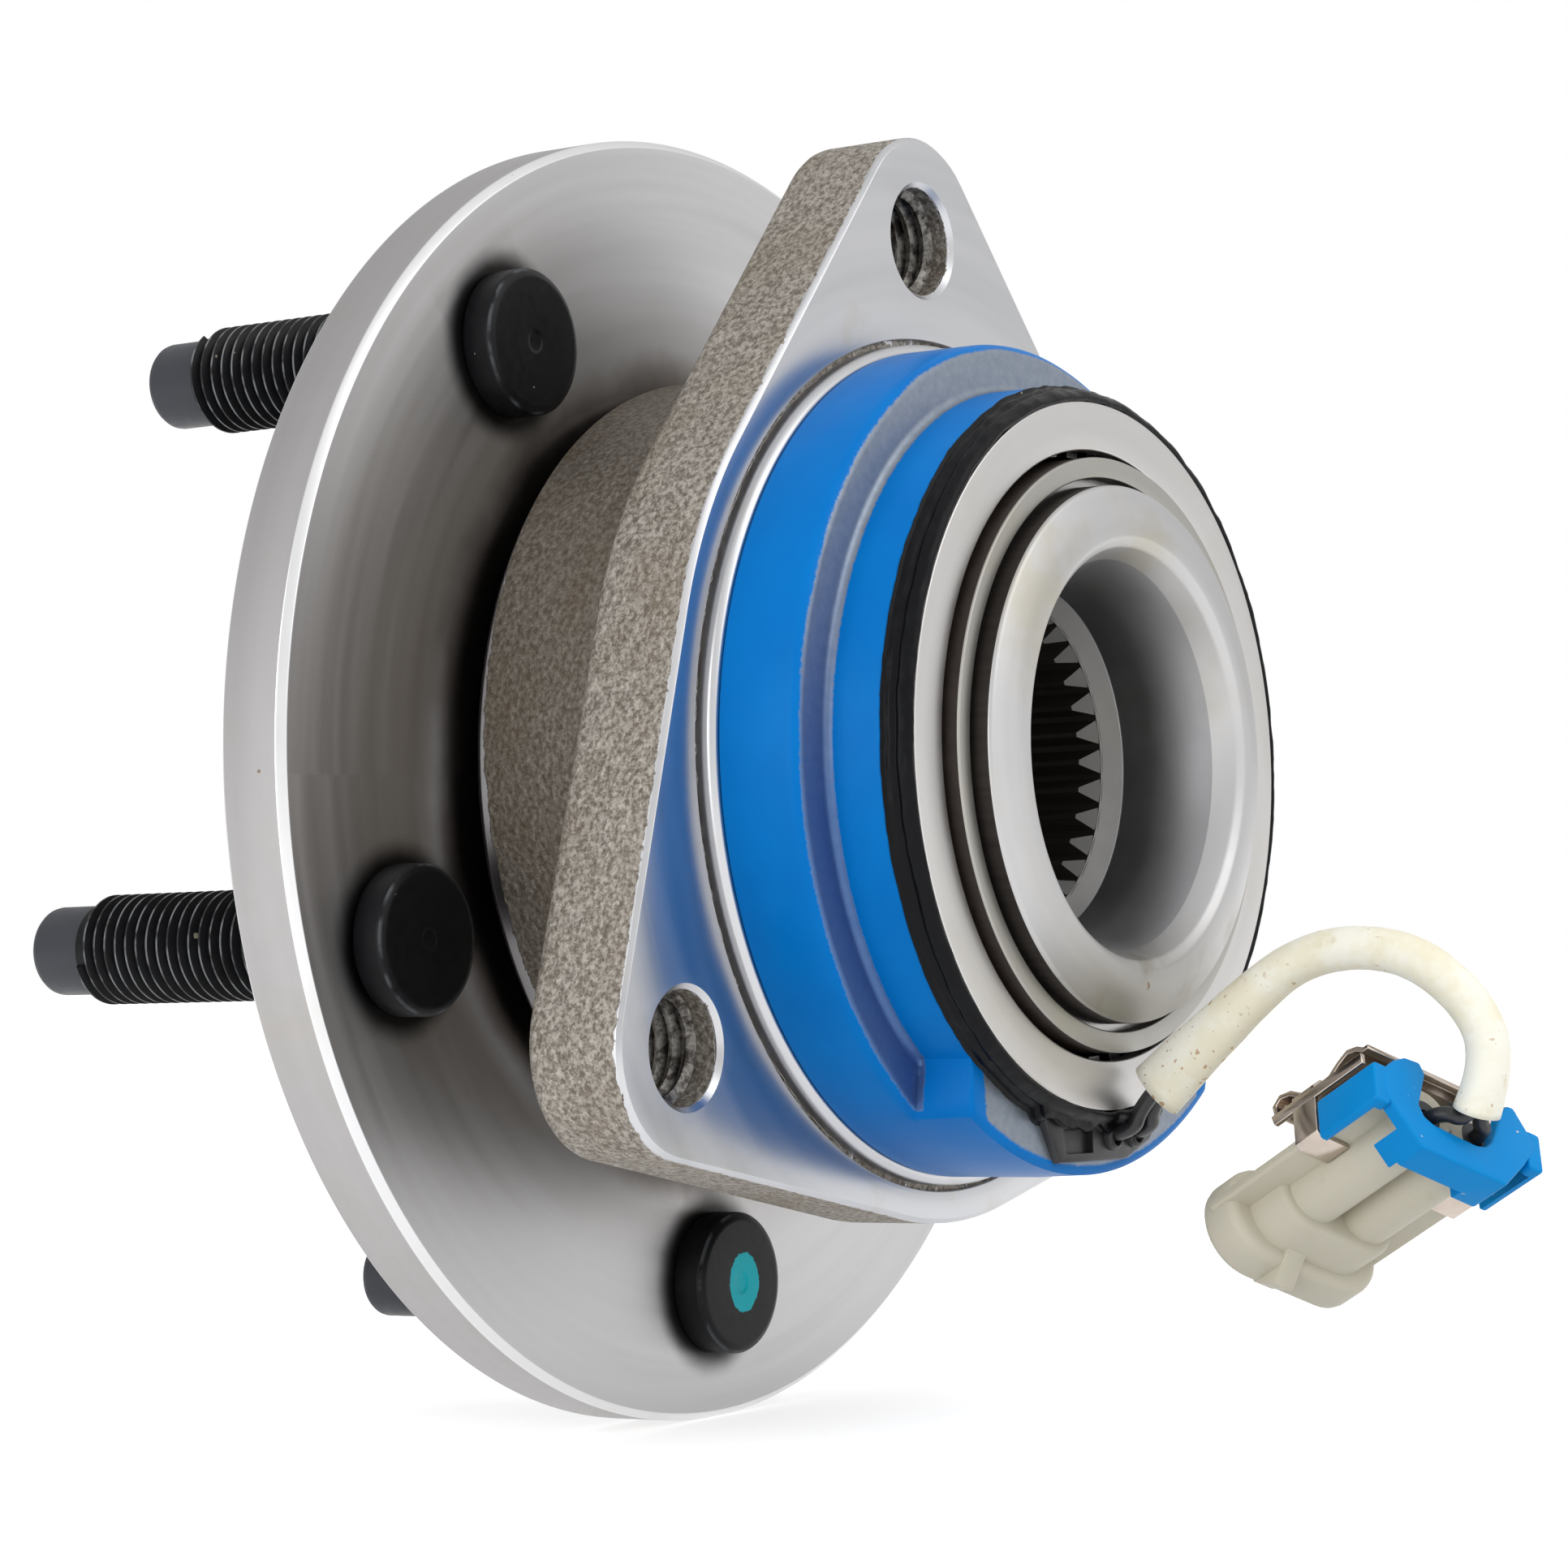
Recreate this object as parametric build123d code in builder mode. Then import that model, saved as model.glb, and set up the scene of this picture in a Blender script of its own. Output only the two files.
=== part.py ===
import math
import os

from build123d import *

# Frame of the part
# Y is the axis that the wheel turns about. Inboard, towards the axle shaft, is -Y and the wheel
# is on the +Y side. Z is up. Y = 0 is the machined face that bolts to the knuckle, and the origin
# is the centre of its bolt circle. Sizes are in millimetres, and radii are from the wheel axis.

# General clearances
fit_gap = 0.02
running_gap = 0.1
thin_wall = 0.8

# Rolling elements
pitch_r = 34.5
ball_r = 5.5
ball_count = 14
race_r = ball_r + running_gap
inboard_row_y = -3.0
outboard_row_y = 17.5
outer_shoulder_r = 37.2
inner_shoulder_r = 32.0
outer_race_r = pitch_r + race_r
inner_race_r = pitch_r - race_r

# Ball cages
cage_inner_r = 33.0
cage_outer_r = 36.4
cage_pocket_r = ball_r + 0.15
cage_back = 6.8
cage_front = 2.4

# Mounting flange of the outer ring
mount_thickness = 12.0
mount_disc_r = 50.4
lobe_centre_r = 58.0
lobe_r = 11.5
lobe_count = 3
mount_hole_r = 6.0
mount_mouth_chamfer = 0.45
cast_edge_r = 1.8
pilot_step = 0.9
pilot_lead = 0.6
pilot_length = 1.7
pilot_land = 1.1

# Barrel of the outer ring
barrel_r = 44.8
barrel_end_y = 30.5
barrel_chamfer = 0.6
spigot_end_y = -9.5

# Wheel flange of the hub
flange_face_y = 32.8
flange_thickness = 8.2
flange_r = 72.85
flange_inner_chamfer = 0.8
flange_outer_chamfer = 0.5
wheel_face_y = flange_face_y + flange_thickness
wheel_pilot_r = 35.1
wheel_pilot_length = 12.0
wheel_pilot_chamfer = 1.2
nut_recess_r = 24.5
nut_seat_y = 40.0

# Spindle of the hub
spindle_r = 25.0
inner_ring_length = 24.5
inner_ring_face_y = -20.5
inner_ring_end_y = inner_ring_face_y + inner_ring_length
seal_land_r = 33.5
seal_land_y = outboard_row_y + cage_back + 0.3
seal_land_chamfer = 0.4
flange_root_r = 36.0
flange_root_height = 1.5

# Rolled nose that holds the inner ring, and the flare inside it
nose_width = 3.9
nose_crown_width = 3.7
nose_lip_width = 3.0
nose_edge_y = -23.9
nose_edge_round = 0.3
nose_edge_step = 0.5
nose_tip_y = -25.4
nose_lip_height = 0.7
nose_lip_chamfer = 0.9
nose_r = spindle_r + nose_width
nose_tip_r = nose_r - nose_crown_width
nose_lip_r = nose_tip_r - nose_lip_width
flare_end_r = 19.1
flare_end_y = -11.8
flare_end_round = 0.3
flare_seat = 0.6
flare_middle_step = 0.75
flare_middle_y = -18.6

# Spline bore
spline_count = 33
spline_tip_r = 16.3
spline_root_r = 17.4
spline_start_y = -8.0
spline_root_y = -10.2
spline_land = 0.5
spline_root_flat = 0.3
spline_overcut = 0.3
spline_back_chamfer = 0.8

# Wheel studs
stud_count = 5
stud_circle_r = 57.5
stud_start_angle = 53.4
stud_r = 6.0
stud_head_r = 8.0
stud_head_height = 4.0
stud_head_chamfer = 0.4
stud_knurl_r = 6.6
stud_thread_length = 33.0
stud_shank_length = 1.5
stud_thread_pitch = 1.5
stud_thread_turns = 20
stud_core_r = 5.1
stud_crest_flat = 0.2
stud_root_flat = 0.1
stud_dog_r = 4.85
stud_dog_length = 7.0
stud_dog_round = 1.2

# Outboard seal
seal_bore_r = 41.0
seal_bore_relief = 0.5
seal_inner_y = 25.1
seal_outer_y = 30.2
seal_sheet = 0.9
seal_web_r = 35.2
slinger_reach_r = 39.6
slinger_end_y = 31.2
lip_gap = 0.15
lip_bond = 1.6
lip_root = 2.4
lip_sheet = 0.7
lip_waist = 1.4
lip_reach = 1.9

# Tone ring on the inner ring, from the nose outwards
tone_clearance = 0.85
tone_width = 2.25
tone_face_y = -21.7
tone_end_y = -10.1
tone_teeth_start_y = -18.0
tone_teeth_end_y = -11.8
tone_tooth_count = 47
tone_tooth_depth = 1.0
tone_inner_r = nose_r + tone_clearance
tone_outer_r = tone_inner_r + tone_width

# Sensor rings round the tone ring
plate_face_y = -20.8
plate_thickness = 1.4
plate_clearance = 0.85
plate_width = 5.3
plate_inner_r = tone_outer_r + plate_clearance
plate_outer_r = plate_inner_r + plate_width
potting_width = 1.45
potting_r = plate_outer_r + potting_width
magnet_thickness = 2.0
magnet_width = 4.55
magnet_inner_r = plate_outer_r - magnet_width
pole_clearance = 0.45
pole_width = 1.95
pole_tooth_depth = 0.8
pole_tooth_overcut = 0.4
pole_inner_r = tone_outer_r + pole_clearance
bobbin_inner_r = pole_inner_r + pole_width
bobbin_end_y = -11.6
bobbin_wall = 0.8
coil_inset = 1.4

# Sensor cap
cap_lip = 0.4
cap_step = 5.3
cap_step_y = -11.3
cap_end_y = -17.8
cap_small_r = potting_r + cap_lip
cap_r = cap_small_r + cap_step
coil_r = cap_small_r - coil_inset
bulge_half_width = 25.0
bulge_end_y = -18.0
bulge_corner_r = 1.2

# Terminal block in the bulge of the cap, as points of (x, height over the bottom of the cap)
block_points = [(-12.4, 7.7), (-9.4, 1.9), (4.8, 1.5), (10.1, 3.3), (13.6, 6.3), (12.6, 7.9)]
block_outline = [(x, height - cap_r) for x, height in block_points]
block_face_y = -18.9
block_back_y = -12.6
block_x = 3.9
block_z = 4.2 - cap_r
wire_spacing = 4.7

# Pilot of the outer ring beside the cap
pilot_r = cap_r + pilot_step
pilot_tip_r = pilot_r - pilot_lead

# Sleeve and wires of the pigtail
wire_r = 0.85
wire_pair_half = 0.93
sleeve_r = 2.5
sleeve_bore_r = 1.95
cord_x = 2.0
sleeve_route = [
    (cord_x, -24.5, -36.2),
    (cord_x, -33.2, -28.7),
    (cord_x, -43.0, -21.5),
    (cord_x, -54.2, -21.5),
    (cord_x, -61.6, -26.8),
    (cord_x, -64.3, -33.2),
    (cord_x, -61.9, -38.6),
]
wire_overhang = 2.7
wire_lead_out = 2.0
wire_lead_in = 1.2
wire_cavity_lead = 1.8

# Connector on the pigtail
connector_at = (2.0, -58.9, -40.3)
connector_axis = (0.199, 0.856, -0.476)
connector_width_axis = (0.825, -0.408, -0.389)
cavity_half_pitch = 3.45
cavity_r = 3.3
shell_wing_width = 21.2
shell_wing_low = -1.08
shell_wing_thickness = 1.3
shell_wing_length = 25.0
shell_body_length = 17.5
shell_step_length = 5.5
shell_skirt_length = 5.0
shell_step_width = 15.4
shell_step_height = 8.6
shell_step_round = 4.2
shell_skirt_width = 20.0
shell_skirt_height = 11.0
shell_skirt_round = 5.4
socket_width = 13.4
socket_height = 6.8
socket_round = 3.3
socket_depth = 10.0
latch_width = 2.5
latch_across = -2.2
latch_outline = [(4.0, 21.8), (7.45, 24.5), (5.2, 28.0), (4.0, 28.0)]
seal_plug_r = 1.9
seal_plug_length = 4.0
blade_width = 1.5
blade_thickness = 0.8
blade_reach = 26.0
crimp_r = 1.1
lock_wall = 1.5
lock_length = 2.5
lock_rim = [
    (-10.4, -1.0), (-10.1, -2.4), (-8.6, -4.2), (-7.0, -5.2), (-5.0, -5.4), (-4.3, -4.2),
    (-5.6, 0.2), (-5.0, 1.4), (-3.8, 1.9), (2.0, 2.1), (3.4, 1.7), (4.3, 0.8), (5.1, -1.2),
    (6.2, -3.8), (7.1, -5.0), (8.0, -5.1), (10.8, -1.2), (8.8, 1.8), (5.7, 5.6), (-5.7, 5.6), (-10.2, 0.6),
]
lock_room_height = 8.0
lock_arm_inner = 9.5
lock_arm_outer = 11.5
lock_arm_top = -3.0
lock_arm_foot = 1.8
lock_arm_length = 7.5
clip_sheet = 0.6
clip_start = 8.0
clip_width = 3.5
clip_top = -6.0
clip_leg = 3.7
clip_leaf_width = 20.0
clip_leaf_start = 0.3


def across(y):
    """A plane square to the wheel axis at height y, with its own x along X and its y along Z."""
    return Plane.XZ.offset(-y)


def turn(outline, mode=Mode.ADD):
    """Turn a closed outline of (radius, y) points about the wheel axis in the open part."""
    with BuildSketch(Plane.XY) as section:
        with BuildLine():
            Polyline(*outline, close=True)
        make_face()
    revolve(section.sketch, axis=Axis.Y, mode=mode)


def tube_outline(inner_r, outer_r, low_y, high_y):
    """The four corners of a plain ring's section."""
    return [(inner_r, low_y), (outer_r, low_y), (outer_r, high_y), (inner_r, high_y)]


def bend_radii(points):
    """The largest radius that each corner's two runs allow, with some straight left between."""
    radii = []
    for before, corner, after in zip(points, points[1:], points[2:]):
        run_in = Vector(*corner) - Vector(*before)
        run_out = Vector(*after) - Vector(*corner)
        half_turn = math.radians(run_in.get_angle(run_out)) / 2
        radii.append(0.45 * min(run_in.length, run_out.length) / math.tan(half_turn))
    return radii


def finish_piece(piece, name):
    """Name a finished piece and write it."""
    piece.label = name
    export_step(piece, f"parts/{name}.step")


os.makedirs("parts", exist_ok=True)


# Outer ring: knuckle flange, barrel, spigot and the two outer races in one forging
spigot_r = cap_r - thin_wall - fit_gap
core_r = outer_shoulder_r - 1
with BuildPart() as outer_ring:
    with BuildSketch(across(mount_thickness)) as mount_outline:
        with BuildLine():
            CenterArc((0, 0), mount_disc_r, 0, 360)
            for lobe in range(lobe_count):
                angle = math.radians(90 + lobe * 360 / lobe_count)
                lobe_centre = (lobe_centre_r * math.cos(angle), lobe_centre_r * math.sin(angle))
                CenterArc(lobe_centre, lobe_r, 0, 360)
        make_hull()
    extrude(amount=mount_thickness)
    cast_edges = outer_ring.edges().group_by(Axis.Y)[-1]
    fillet(cast_edges, cast_edge_r)
    turn([(core_r, 0), (pilot_r, 0), (pilot_r, -pilot_land), (pilot_tip_r, -pilot_length),
          (spigot_r, -pilot_length), (spigot_r, spigot_end_y), (core_r, spigot_end_y)])
    turn([(core_r, mount_thickness - 1), (barrel_r, mount_thickness - 1),
          (barrel_r, barrel_end_y - barrel_chamfer), (barrel_r - barrel_chamfer, barrel_end_y),
          (core_r, barrel_end_y)])
    turn([(0, spigot_end_y - 1), (outer_race_r, spigot_end_y - 1), (outer_race_r, inboard_row_y),
          (outer_shoulder_r, inboard_row_y), (outer_shoulder_r, outboard_row_y),
          (outer_race_r, outboard_row_y), (outer_race_r, seal_inner_y - seal_bore_relief),
          (seal_bore_r, seal_inner_y - seal_bore_relief), (seal_bore_r, barrel_end_y + 1),
          (0, barrel_end_y + 1)],
         mode=Mode.SUBTRACT)
    for row_y in (inboard_row_y, outboard_row_y):
        with BuildSketch(Plane.XY) as race:
            with Locations((pitch_r, row_y)):
                Circle(race_r)
        revolve(race.sketch, axis=Axis.Y, mode=Mode.SUBTRACT)
    with BuildSketch(across(mount_thickness)):
        with PolarLocations(lobe_centre_r, lobe_count, start_angle=90):
            Circle(mount_hole_r)
    extrude(amount=mount_thickness, mode=Mode.SUBTRACT)
    mouths = outer_ring.edges().filter_by(GeomType.CIRCLE).filter_by(
        lambda edge: abs(edge.radius - mount_hole_r) < 0.01 and abs(edge.center().Y) < 0.01)
    chamfer(mouths, mount_mouth_chamfer)
finish_piece(outer_ring.part, "outer_ring")


# Hub: wheel flange, spindle, outboard inner race, splined bore and the rolled nose in one forging
nose_side_y = inner_ring_face_y - fit_gap
with BuildPart() as hub_spindle:
    with BuildSketch(Plane.XY) as hub_section:
        with BuildLine():
            Polyline((nose_lip_r, nose_tip_y + nose_lip_height), (nose_lip_r + nose_lip_chamfer, nose_tip_y),
                     (nose_tip_r, nose_tip_y), (nose_r - nose_edge_step, nose_edge_y - nose_edge_round),
                     (nose_r, nose_edge_y + nose_edge_round), (nose_r, nose_side_y), (spindle_r, nose_side_y),
                     (spindle_r, inner_ring_end_y + fit_gap), (inner_race_r, inner_ring_end_y + fit_gap),
                     (inner_race_r, outboard_row_y), (inner_shoulder_r, outboard_row_y),
                     (inner_shoulder_r, seal_land_y), (seal_land_r, seal_land_y + seal_land_chamfer),
                     (seal_land_r, flange_face_y - flange_root_height), (flange_root_r, flange_face_y),
                     (flange_r - flange_inner_chamfer, flange_face_y),
                     (flange_r, flange_face_y + flange_inner_chamfer),
                     (flange_r, wheel_face_y - flange_outer_chamfer),
                     (flange_r - flange_outer_chamfer, wheel_face_y), (wheel_pilot_r, wheel_face_y),
                     (wheel_pilot_r, wheel_face_y + wheel_pilot_length - wheel_pilot_chamfer),
                     (wheel_pilot_r - wheel_pilot_chamfer, wheel_face_y + wheel_pilot_length),
                     (nut_recess_r, wheel_face_y + wheel_pilot_length), (nut_recess_r, nut_seat_y),
                     (spline_tip_r + spline_back_chamfer, nut_seat_y),
                     (spline_tip_r, nut_seat_y - spline_back_chamfer),
                     (spline_tip_r, spline_start_y), (spline_root_r, spline_root_y),
                     (flare_end_r - flare_seat, flare_end_y), (flare_end_r, flare_end_y - flare_end_round))
            ThreePointArc((flare_end_r, flare_end_y - flare_end_round),
                          (flare_end_r + flare_middle_step, flare_middle_y),
                          (nose_lip_r, nose_tip_y + nose_lip_height))
        make_face()
        with Locations((pitch_r, outboard_row_y)):
            Circle(race_r, mode=Mode.SUBTRACT)
    revolve(axis=Axis.Y)
    groove_mouth = 2 * math.pi * spline_tip_r / spline_count - spline_land
    groove_depth = spline_root_r - spline_tip_r + spline_overcut
    groove_side = math.degrees(math.atan2(groove_depth, (groove_mouth - spline_root_flat) / 2))
    with BuildSketch(across(nut_seat_y)):
        with PolarLocations(spline_root_r - groove_depth / 2, spline_count):
            Trapezoid(groove_mouth, groove_depth, groove_side, rotation=-90)
    extrude(amount=nut_seat_y - spline_root_y - 0.01, mode=Mode.SUBTRACT)
    with BuildSketch(across(wheel_face_y)):
        with PolarLocations(stud_circle_r, stud_count, start_angle=stud_start_angle):
            Circle(stud_knurl_r + fit_gap)
    extrude(amount=flange_thickness, mode=Mode.SUBTRACT)
finish_piece(hub_spindle.part, "hub_spindle")


# Wheel studs, pressed into the flange from the inboard side
thread_depth = stud_r - stud_core_r
thread_length = stud_thread_turns * stud_thread_pitch
thread_end_y = wheel_face_y + stud_shank_length + stud_thread_pitch / 2 + thread_length
thread_root = (stud_thread_pitch - stud_root_flat) / 2
with BuildPart() as stud_thread:
    with BuildLine() as helix_line:
        Helix(stud_thread_pitch, thread_length, stud_core_r)
    helix = helix_line.wires()[0]
    with BuildSketch(Plane(origin=helix @ 0, x_dir=(1, 0, 0), z_dir=(0, 1, 0))) as thread_section:
        Polygon((-stud_root_flat, -thread_root), (thread_depth, -stud_crest_flat / 2),
                (thread_depth, stud_crest_flat / 2), (-stud_root_flat, thread_root), align=None)
    sweep(thread_section.sketch, path=helix, is_frenet=True)

with BuildPart() as wheel_studs:
    with BuildSketch(across(flange_face_y - stud_head_height)):
        with PolarLocations(stud_circle_r, stud_count, start_angle=stud_start_angle):
            Circle(stud_head_r)
    extrude(amount=-stud_head_height)
    head_rims = wheel_studs.edges().filter_by(GeomType.CIRCLE).group_by(Axis.Y)[0]
    chamfer(head_rims, stud_head_chamfer)
    with BuildSketch(across(flange_face_y)):
        with PolarLocations(stud_circle_r, stud_count, start_angle=stud_start_angle):
            Circle(stud_knurl_r)
    extrude(amount=-flange_thickness)
    with BuildSketch(across(wheel_face_y)):
        with PolarLocations(stud_circle_r, stud_count, start_angle=stud_start_angle):
            Circle(stud_r)
    extrude(amount=-stud_shank_length)
    with BuildSketch(across(wheel_face_y)):
        with PolarLocations(stud_circle_r, stud_count, start_angle=stud_start_angle):
            Circle(stud_core_r)
    extrude(amount=-stud_thread_length)
    with Locations(across(thread_end_y)):
        with PolarLocations(stud_circle_r, stud_count, start_angle=stud_start_angle):
            add(stud_thread.part)
    with BuildSketch(across(wheel_face_y + stud_thread_length)):
        with PolarLocations(stud_circle_r, stud_count, start_angle=stud_start_angle):
            Circle(stud_dog_r)
    extrude(amount=-stud_dog_length)
    dog_rims = wheel_studs.edges().filter_by(GeomType.CIRCLE).group_by(Axis.Y)[-1]
    fillet(dog_rims, stud_dog_round)
finish_piece(wheel_studs.part, "wheel_studs")


# Inner ring that carries the inboard race, pressed on the spindle and held by the nose
with BuildPart() as inner_ring:
    with BuildSketch(Plane.XY):
        with BuildLine():
            Polyline((spindle_r + fit_gap, inner_ring_face_y), (tone_inner_r - fit_gap, inner_ring_face_y),
                     (tone_inner_r - fit_gap, tone_end_y + fit_gap),
                     (inner_shoulder_r, tone_end_y + fit_gap), (inner_shoulder_r, inboard_row_y),
                     (inner_race_r, inboard_row_y), (inner_race_r, inner_ring_end_y),
                     (spindle_r + fit_gap, inner_ring_end_y), close=True)
        make_face()
        with Locations((pitch_r, inboard_row_y)):
            Circle(race_r, mode=Mode.SUBTRACT)
    revolve(axis=Axis.Y)
finish_piece(inner_ring.part, "inner_ring")


# Ball rows
for name, row_y in (("balls_inboard", inboard_row_y), ("balls_outboard", outboard_row_y)):
    with BuildPart(across(row_y)) as ball_row:
        with PolarLocations(pitch_r, ball_count):
            Sphere(ball_r)
    finish_piece(ball_row.part, name)


# Cages, each a snap ring whose solid back points away from the middle of the bearing
for name, row_y, back in (("cage_inboard", inboard_row_y, -1), ("cage_outboard", outboard_row_y, 1)):
    with BuildPart() as cage:
        ends = sorted((row_y + back * cage_back, row_y - back * cage_front))
        turn(tube_outline(cage_inner_r, cage_outer_r, *ends))
        with Locations(across(row_y)):
            with PolarLocations(pitch_r, ball_count):
                Sphere(cage_pocket_r, mode=Mode.SUBTRACT)
    finish_piece(cage.part, name)


# Outboard seal: steel case pressed in the barrel, rubber lips bonded to it
with BuildPart() as outboard_seal_case:
    case_r = seal_bore_r - fit_gap
    turn([(seal_web_r, seal_inner_y), (case_r, seal_inner_y), (case_r, seal_outer_y),
          (case_r - seal_sheet, seal_outer_y), (case_r - seal_sheet, seal_inner_y + seal_sheet),
          (seal_web_r, seal_inner_y + seal_sheet)])
finish_piece(outboard_seal_case.part, "outboard_seal_case")

sleeve_seat_r = seal_land_r + fit_gap
sleeve_skin_r = sleeve_seat_r + thin_wall
with BuildPart() as outboard_slinger:
    turn([(sleeve_seat_r, seal_inner_y), (sleeve_skin_r, seal_inner_y),
          (sleeve_skin_r, slinger_end_y - thin_wall), (slinger_reach_r, slinger_end_y - thin_wall),
          (slinger_reach_r, slinger_end_y), (sleeve_seat_r, slinger_end_y)])
finish_piece(outboard_slinger.part, "outboard_slinger")

with BuildPart() as outboard_seal_lip:
    lip_base_y = seal_inner_y + seal_sheet
    lip_root_r = sleeve_skin_r + lip_gap
    lip_tip_y = slinger_end_y - thin_wall - lip_gap
    lip_tip_r = slinger_reach_r - lip_sheet
    lip_foot_r = lip_root_r + lip_waist - lip_gap
    turn([(lip_root_r, lip_base_y), (case_r - seal_sheet - fit_gap, lip_base_y),
          (case_r - seal_sheet - fit_gap, lip_base_y + lip_bond),
          (lip_tip_r - lip_sheet, lip_base_y + lip_bond),
          (lip_tip_r, lip_tip_y), (lip_tip_r - lip_sheet, lip_tip_y),
          (lip_tip_r - lip_reach, lip_base_y + lip_bond), (lip_foot_r, lip_base_y + lip_waist),
          (lip_root_r, lip_base_y + lip_root)])
finish_piece(outboard_seal_lip.part, "outboard_seal_lip")


def block_face():
    """The outline of the terminal block, drawn in the open sketch."""
    with BuildLine() as rim:
        Polyline(*block_outline, close=True)
    make_face(rim.edges())


# Sensor cap: a drawn steel drum over the spigot, with a bulge at the bottom for the terminal block
with BuildPart() as sensor_cap:
    turn([(0, -pilot_length - fit_gap), (cap_r, -pilot_length - fit_gap), (cap_r, cap_step_y),
          (cap_small_r, cap_step_y), (cap_small_r, cap_end_y), (0, cap_end_y)])
    with BuildSketch(across(cap_step_y)) as bulge:
        Circle(cap_r)
        with Locations((0, -cap_r)):
            Rectangle(2 * bulge_half_width, 2 * cap_r, mode=Mode.INTERSECT)
    extrude(amount=cap_step_y - bulge_end_y)
    drum_rims = sensor_cap.edges().filter_by(GeomType.CIRCLE).filter_by(
        lambda edge: abs(edge.radius - cap_r) < 0.01 and edge.center().Y < cap_step_y + 0.01)
    fillet(drum_rims, bulge_corner_r)
    turn([(0, 0), (cap_r - thin_wall, 0), (cap_r - thin_wall, cap_step_y + thin_wall),
          (cap_small_r - thin_wall, cap_step_y + thin_wall), (cap_small_r - thin_wall, cap_end_y),
          (potting_r + fit_gap, cap_end_y), (potting_r + fit_gap, bulge_end_y - 1), (0, bulge_end_y - 1)],
         mode=Mode.SUBTRACT)
    with BuildSketch(across(cap_step_y + thin_wall)) as bulge_room:
        Circle(cap_r - thin_wall)
        Circle(cap_small_r, mode=Mode.SUBTRACT)
        with Locations((0, -cap_r)):
            Rectangle(2 * (bulge_half_width - thin_wall), 2 * cap_r, mode=Mode.INTERSECT)
    extrude(amount=cap_step_y - bulge_end_y, mode=Mode.SUBTRACT)
    with BuildSketch(across(cap_step_y)):
        with Locations((0, 0)):
            block_face()
            offset(amount=fit_gap)
    extrude(amount=cap_step_y - block_face_y, mode=Mode.SUBTRACT)
finish_piece(sensor_cap.part, "sensor_cap")


# Terminal block, moulded to fit the bulge and standing a little proud of it
with BuildPart() as terminal_block:
    with BuildSketch(across(block_back_y)):
        block_face()
        Circle(potting_r + fit_gap, mode=Mode.SUBTRACT)
    extrude(amount=block_back_y - block_face_y)
    with BuildSketch(across(block_back_y)):
        with Locations((block_x, block_z)):
            with GridLocations(wire_spacing, 0, 2, 1):
                Circle(wire_r + fit_gap)
    extrude(amount=block_back_y - block_face_y, mode=Mode.SUBTRACT)
finish_piece(terminal_block.part, "terminal_block")


# Sensor rings, stacked inside the small end of the cap
plate_back_y = plate_face_y + plate_thickness
magnet_back_y = plate_back_y + magnet_thickness
with BuildPart() as sensor_end_plate:
    turn(tube_outline(plate_inner_r, plate_outer_r, plate_face_y, plate_back_y))
finish_piece(sensor_end_plate.part, "sensor_end_plate")

with BuildPart() as sensor_potting:
    turn([(plate_outer_r + fit_gap, plate_face_y), (potting_r, plate_face_y),
          (potting_r, cap_end_y - fit_gap), (cap_small_r - thin_wall - fit_gap, cap_end_y - fit_gap),
          (cap_small_r - thin_wall - fit_gap, magnet_back_y), (plate_outer_r + fit_gap, magnet_back_y)])
finish_piece(sensor_potting.part, "sensor_potting")

with BuildPart() as sensor_magnet:
    turn(tube_outline(magnet_inner_r, plate_outer_r, plate_back_y, magnet_back_y))
finish_piece(sensor_magnet.part, "sensor_magnet")

bobbin_r = cap_small_r - thin_wall - fit_gap
with BuildPart() as sensor_bobbin:
    turn([(bobbin_inner_r, magnet_back_y), (bobbin_r, magnet_back_y),
          (bobbin_r, magnet_back_y + bobbin_wall), (bobbin_inner_r + bobbin_wall, magnet_back_y + bobbin_wall),
          (bobbin_inner_r + bobbin_wall, bobbin_end_y - bobbin_wall), (bobbin_r, bobbin_end_y - bobbin_wall),
          (bobbin_r, bobbin_end_y), (bobbin_inner_r, bobbin_end_y)])
finish_piece(sensor_bobbin.part, "sensor_bobbin")

with BuildPart() as sensor_coil:
    turn(tube_outline(bobbin_inner_r + bobbin_wall + fit_gap, coil_r, magnet_back_y + bobbin_wall,
                      bobbin_end_y - bobbin_wall))
finish_piece(sensor_coil.part, "sensor_coil")

tooth_width = math.pi * tone_outer_r / tone_tooth_count
with BuildPart() as pole_ring:
    turn(tube_outline(pole_inner_r, bobbin_inner_r - fit_gap, magnet_back_y, bobbin_end_y))
    with BuildSketch(across(bobbin_end_y)):
        with PolarLocations(pole_inner_r + pole_tooth_depth / 2, tone_tooth_count):
            Rectangle(pole_tooth_depth + pole_tooth_overcut, tooth_width)
    extrude(amount=bobbin_end_y - magnet_back_y, mode=Mode.SUBTRACT)
finish_piece(pole_ring.part, "pole_ring")

with BuildPart() as tone_ring:
    turn(tube_outline(tone_inner_r, tone_outer_r, tone_face_y, tone_end_y))
    with BuildSketch(across(tone_teeth_end_y)):
        with PolarLocations(tone_outer_r, tone_tooth_count):
            Rectangle(2 * tone_tooth_depth, tooth_width)
    extrude(amount=tone_teeth_end_y - tone_teeth_start_y, mode=Mode.SUBTRACT)
finish_piece(tone_ring.part, "tone_ring")


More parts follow.
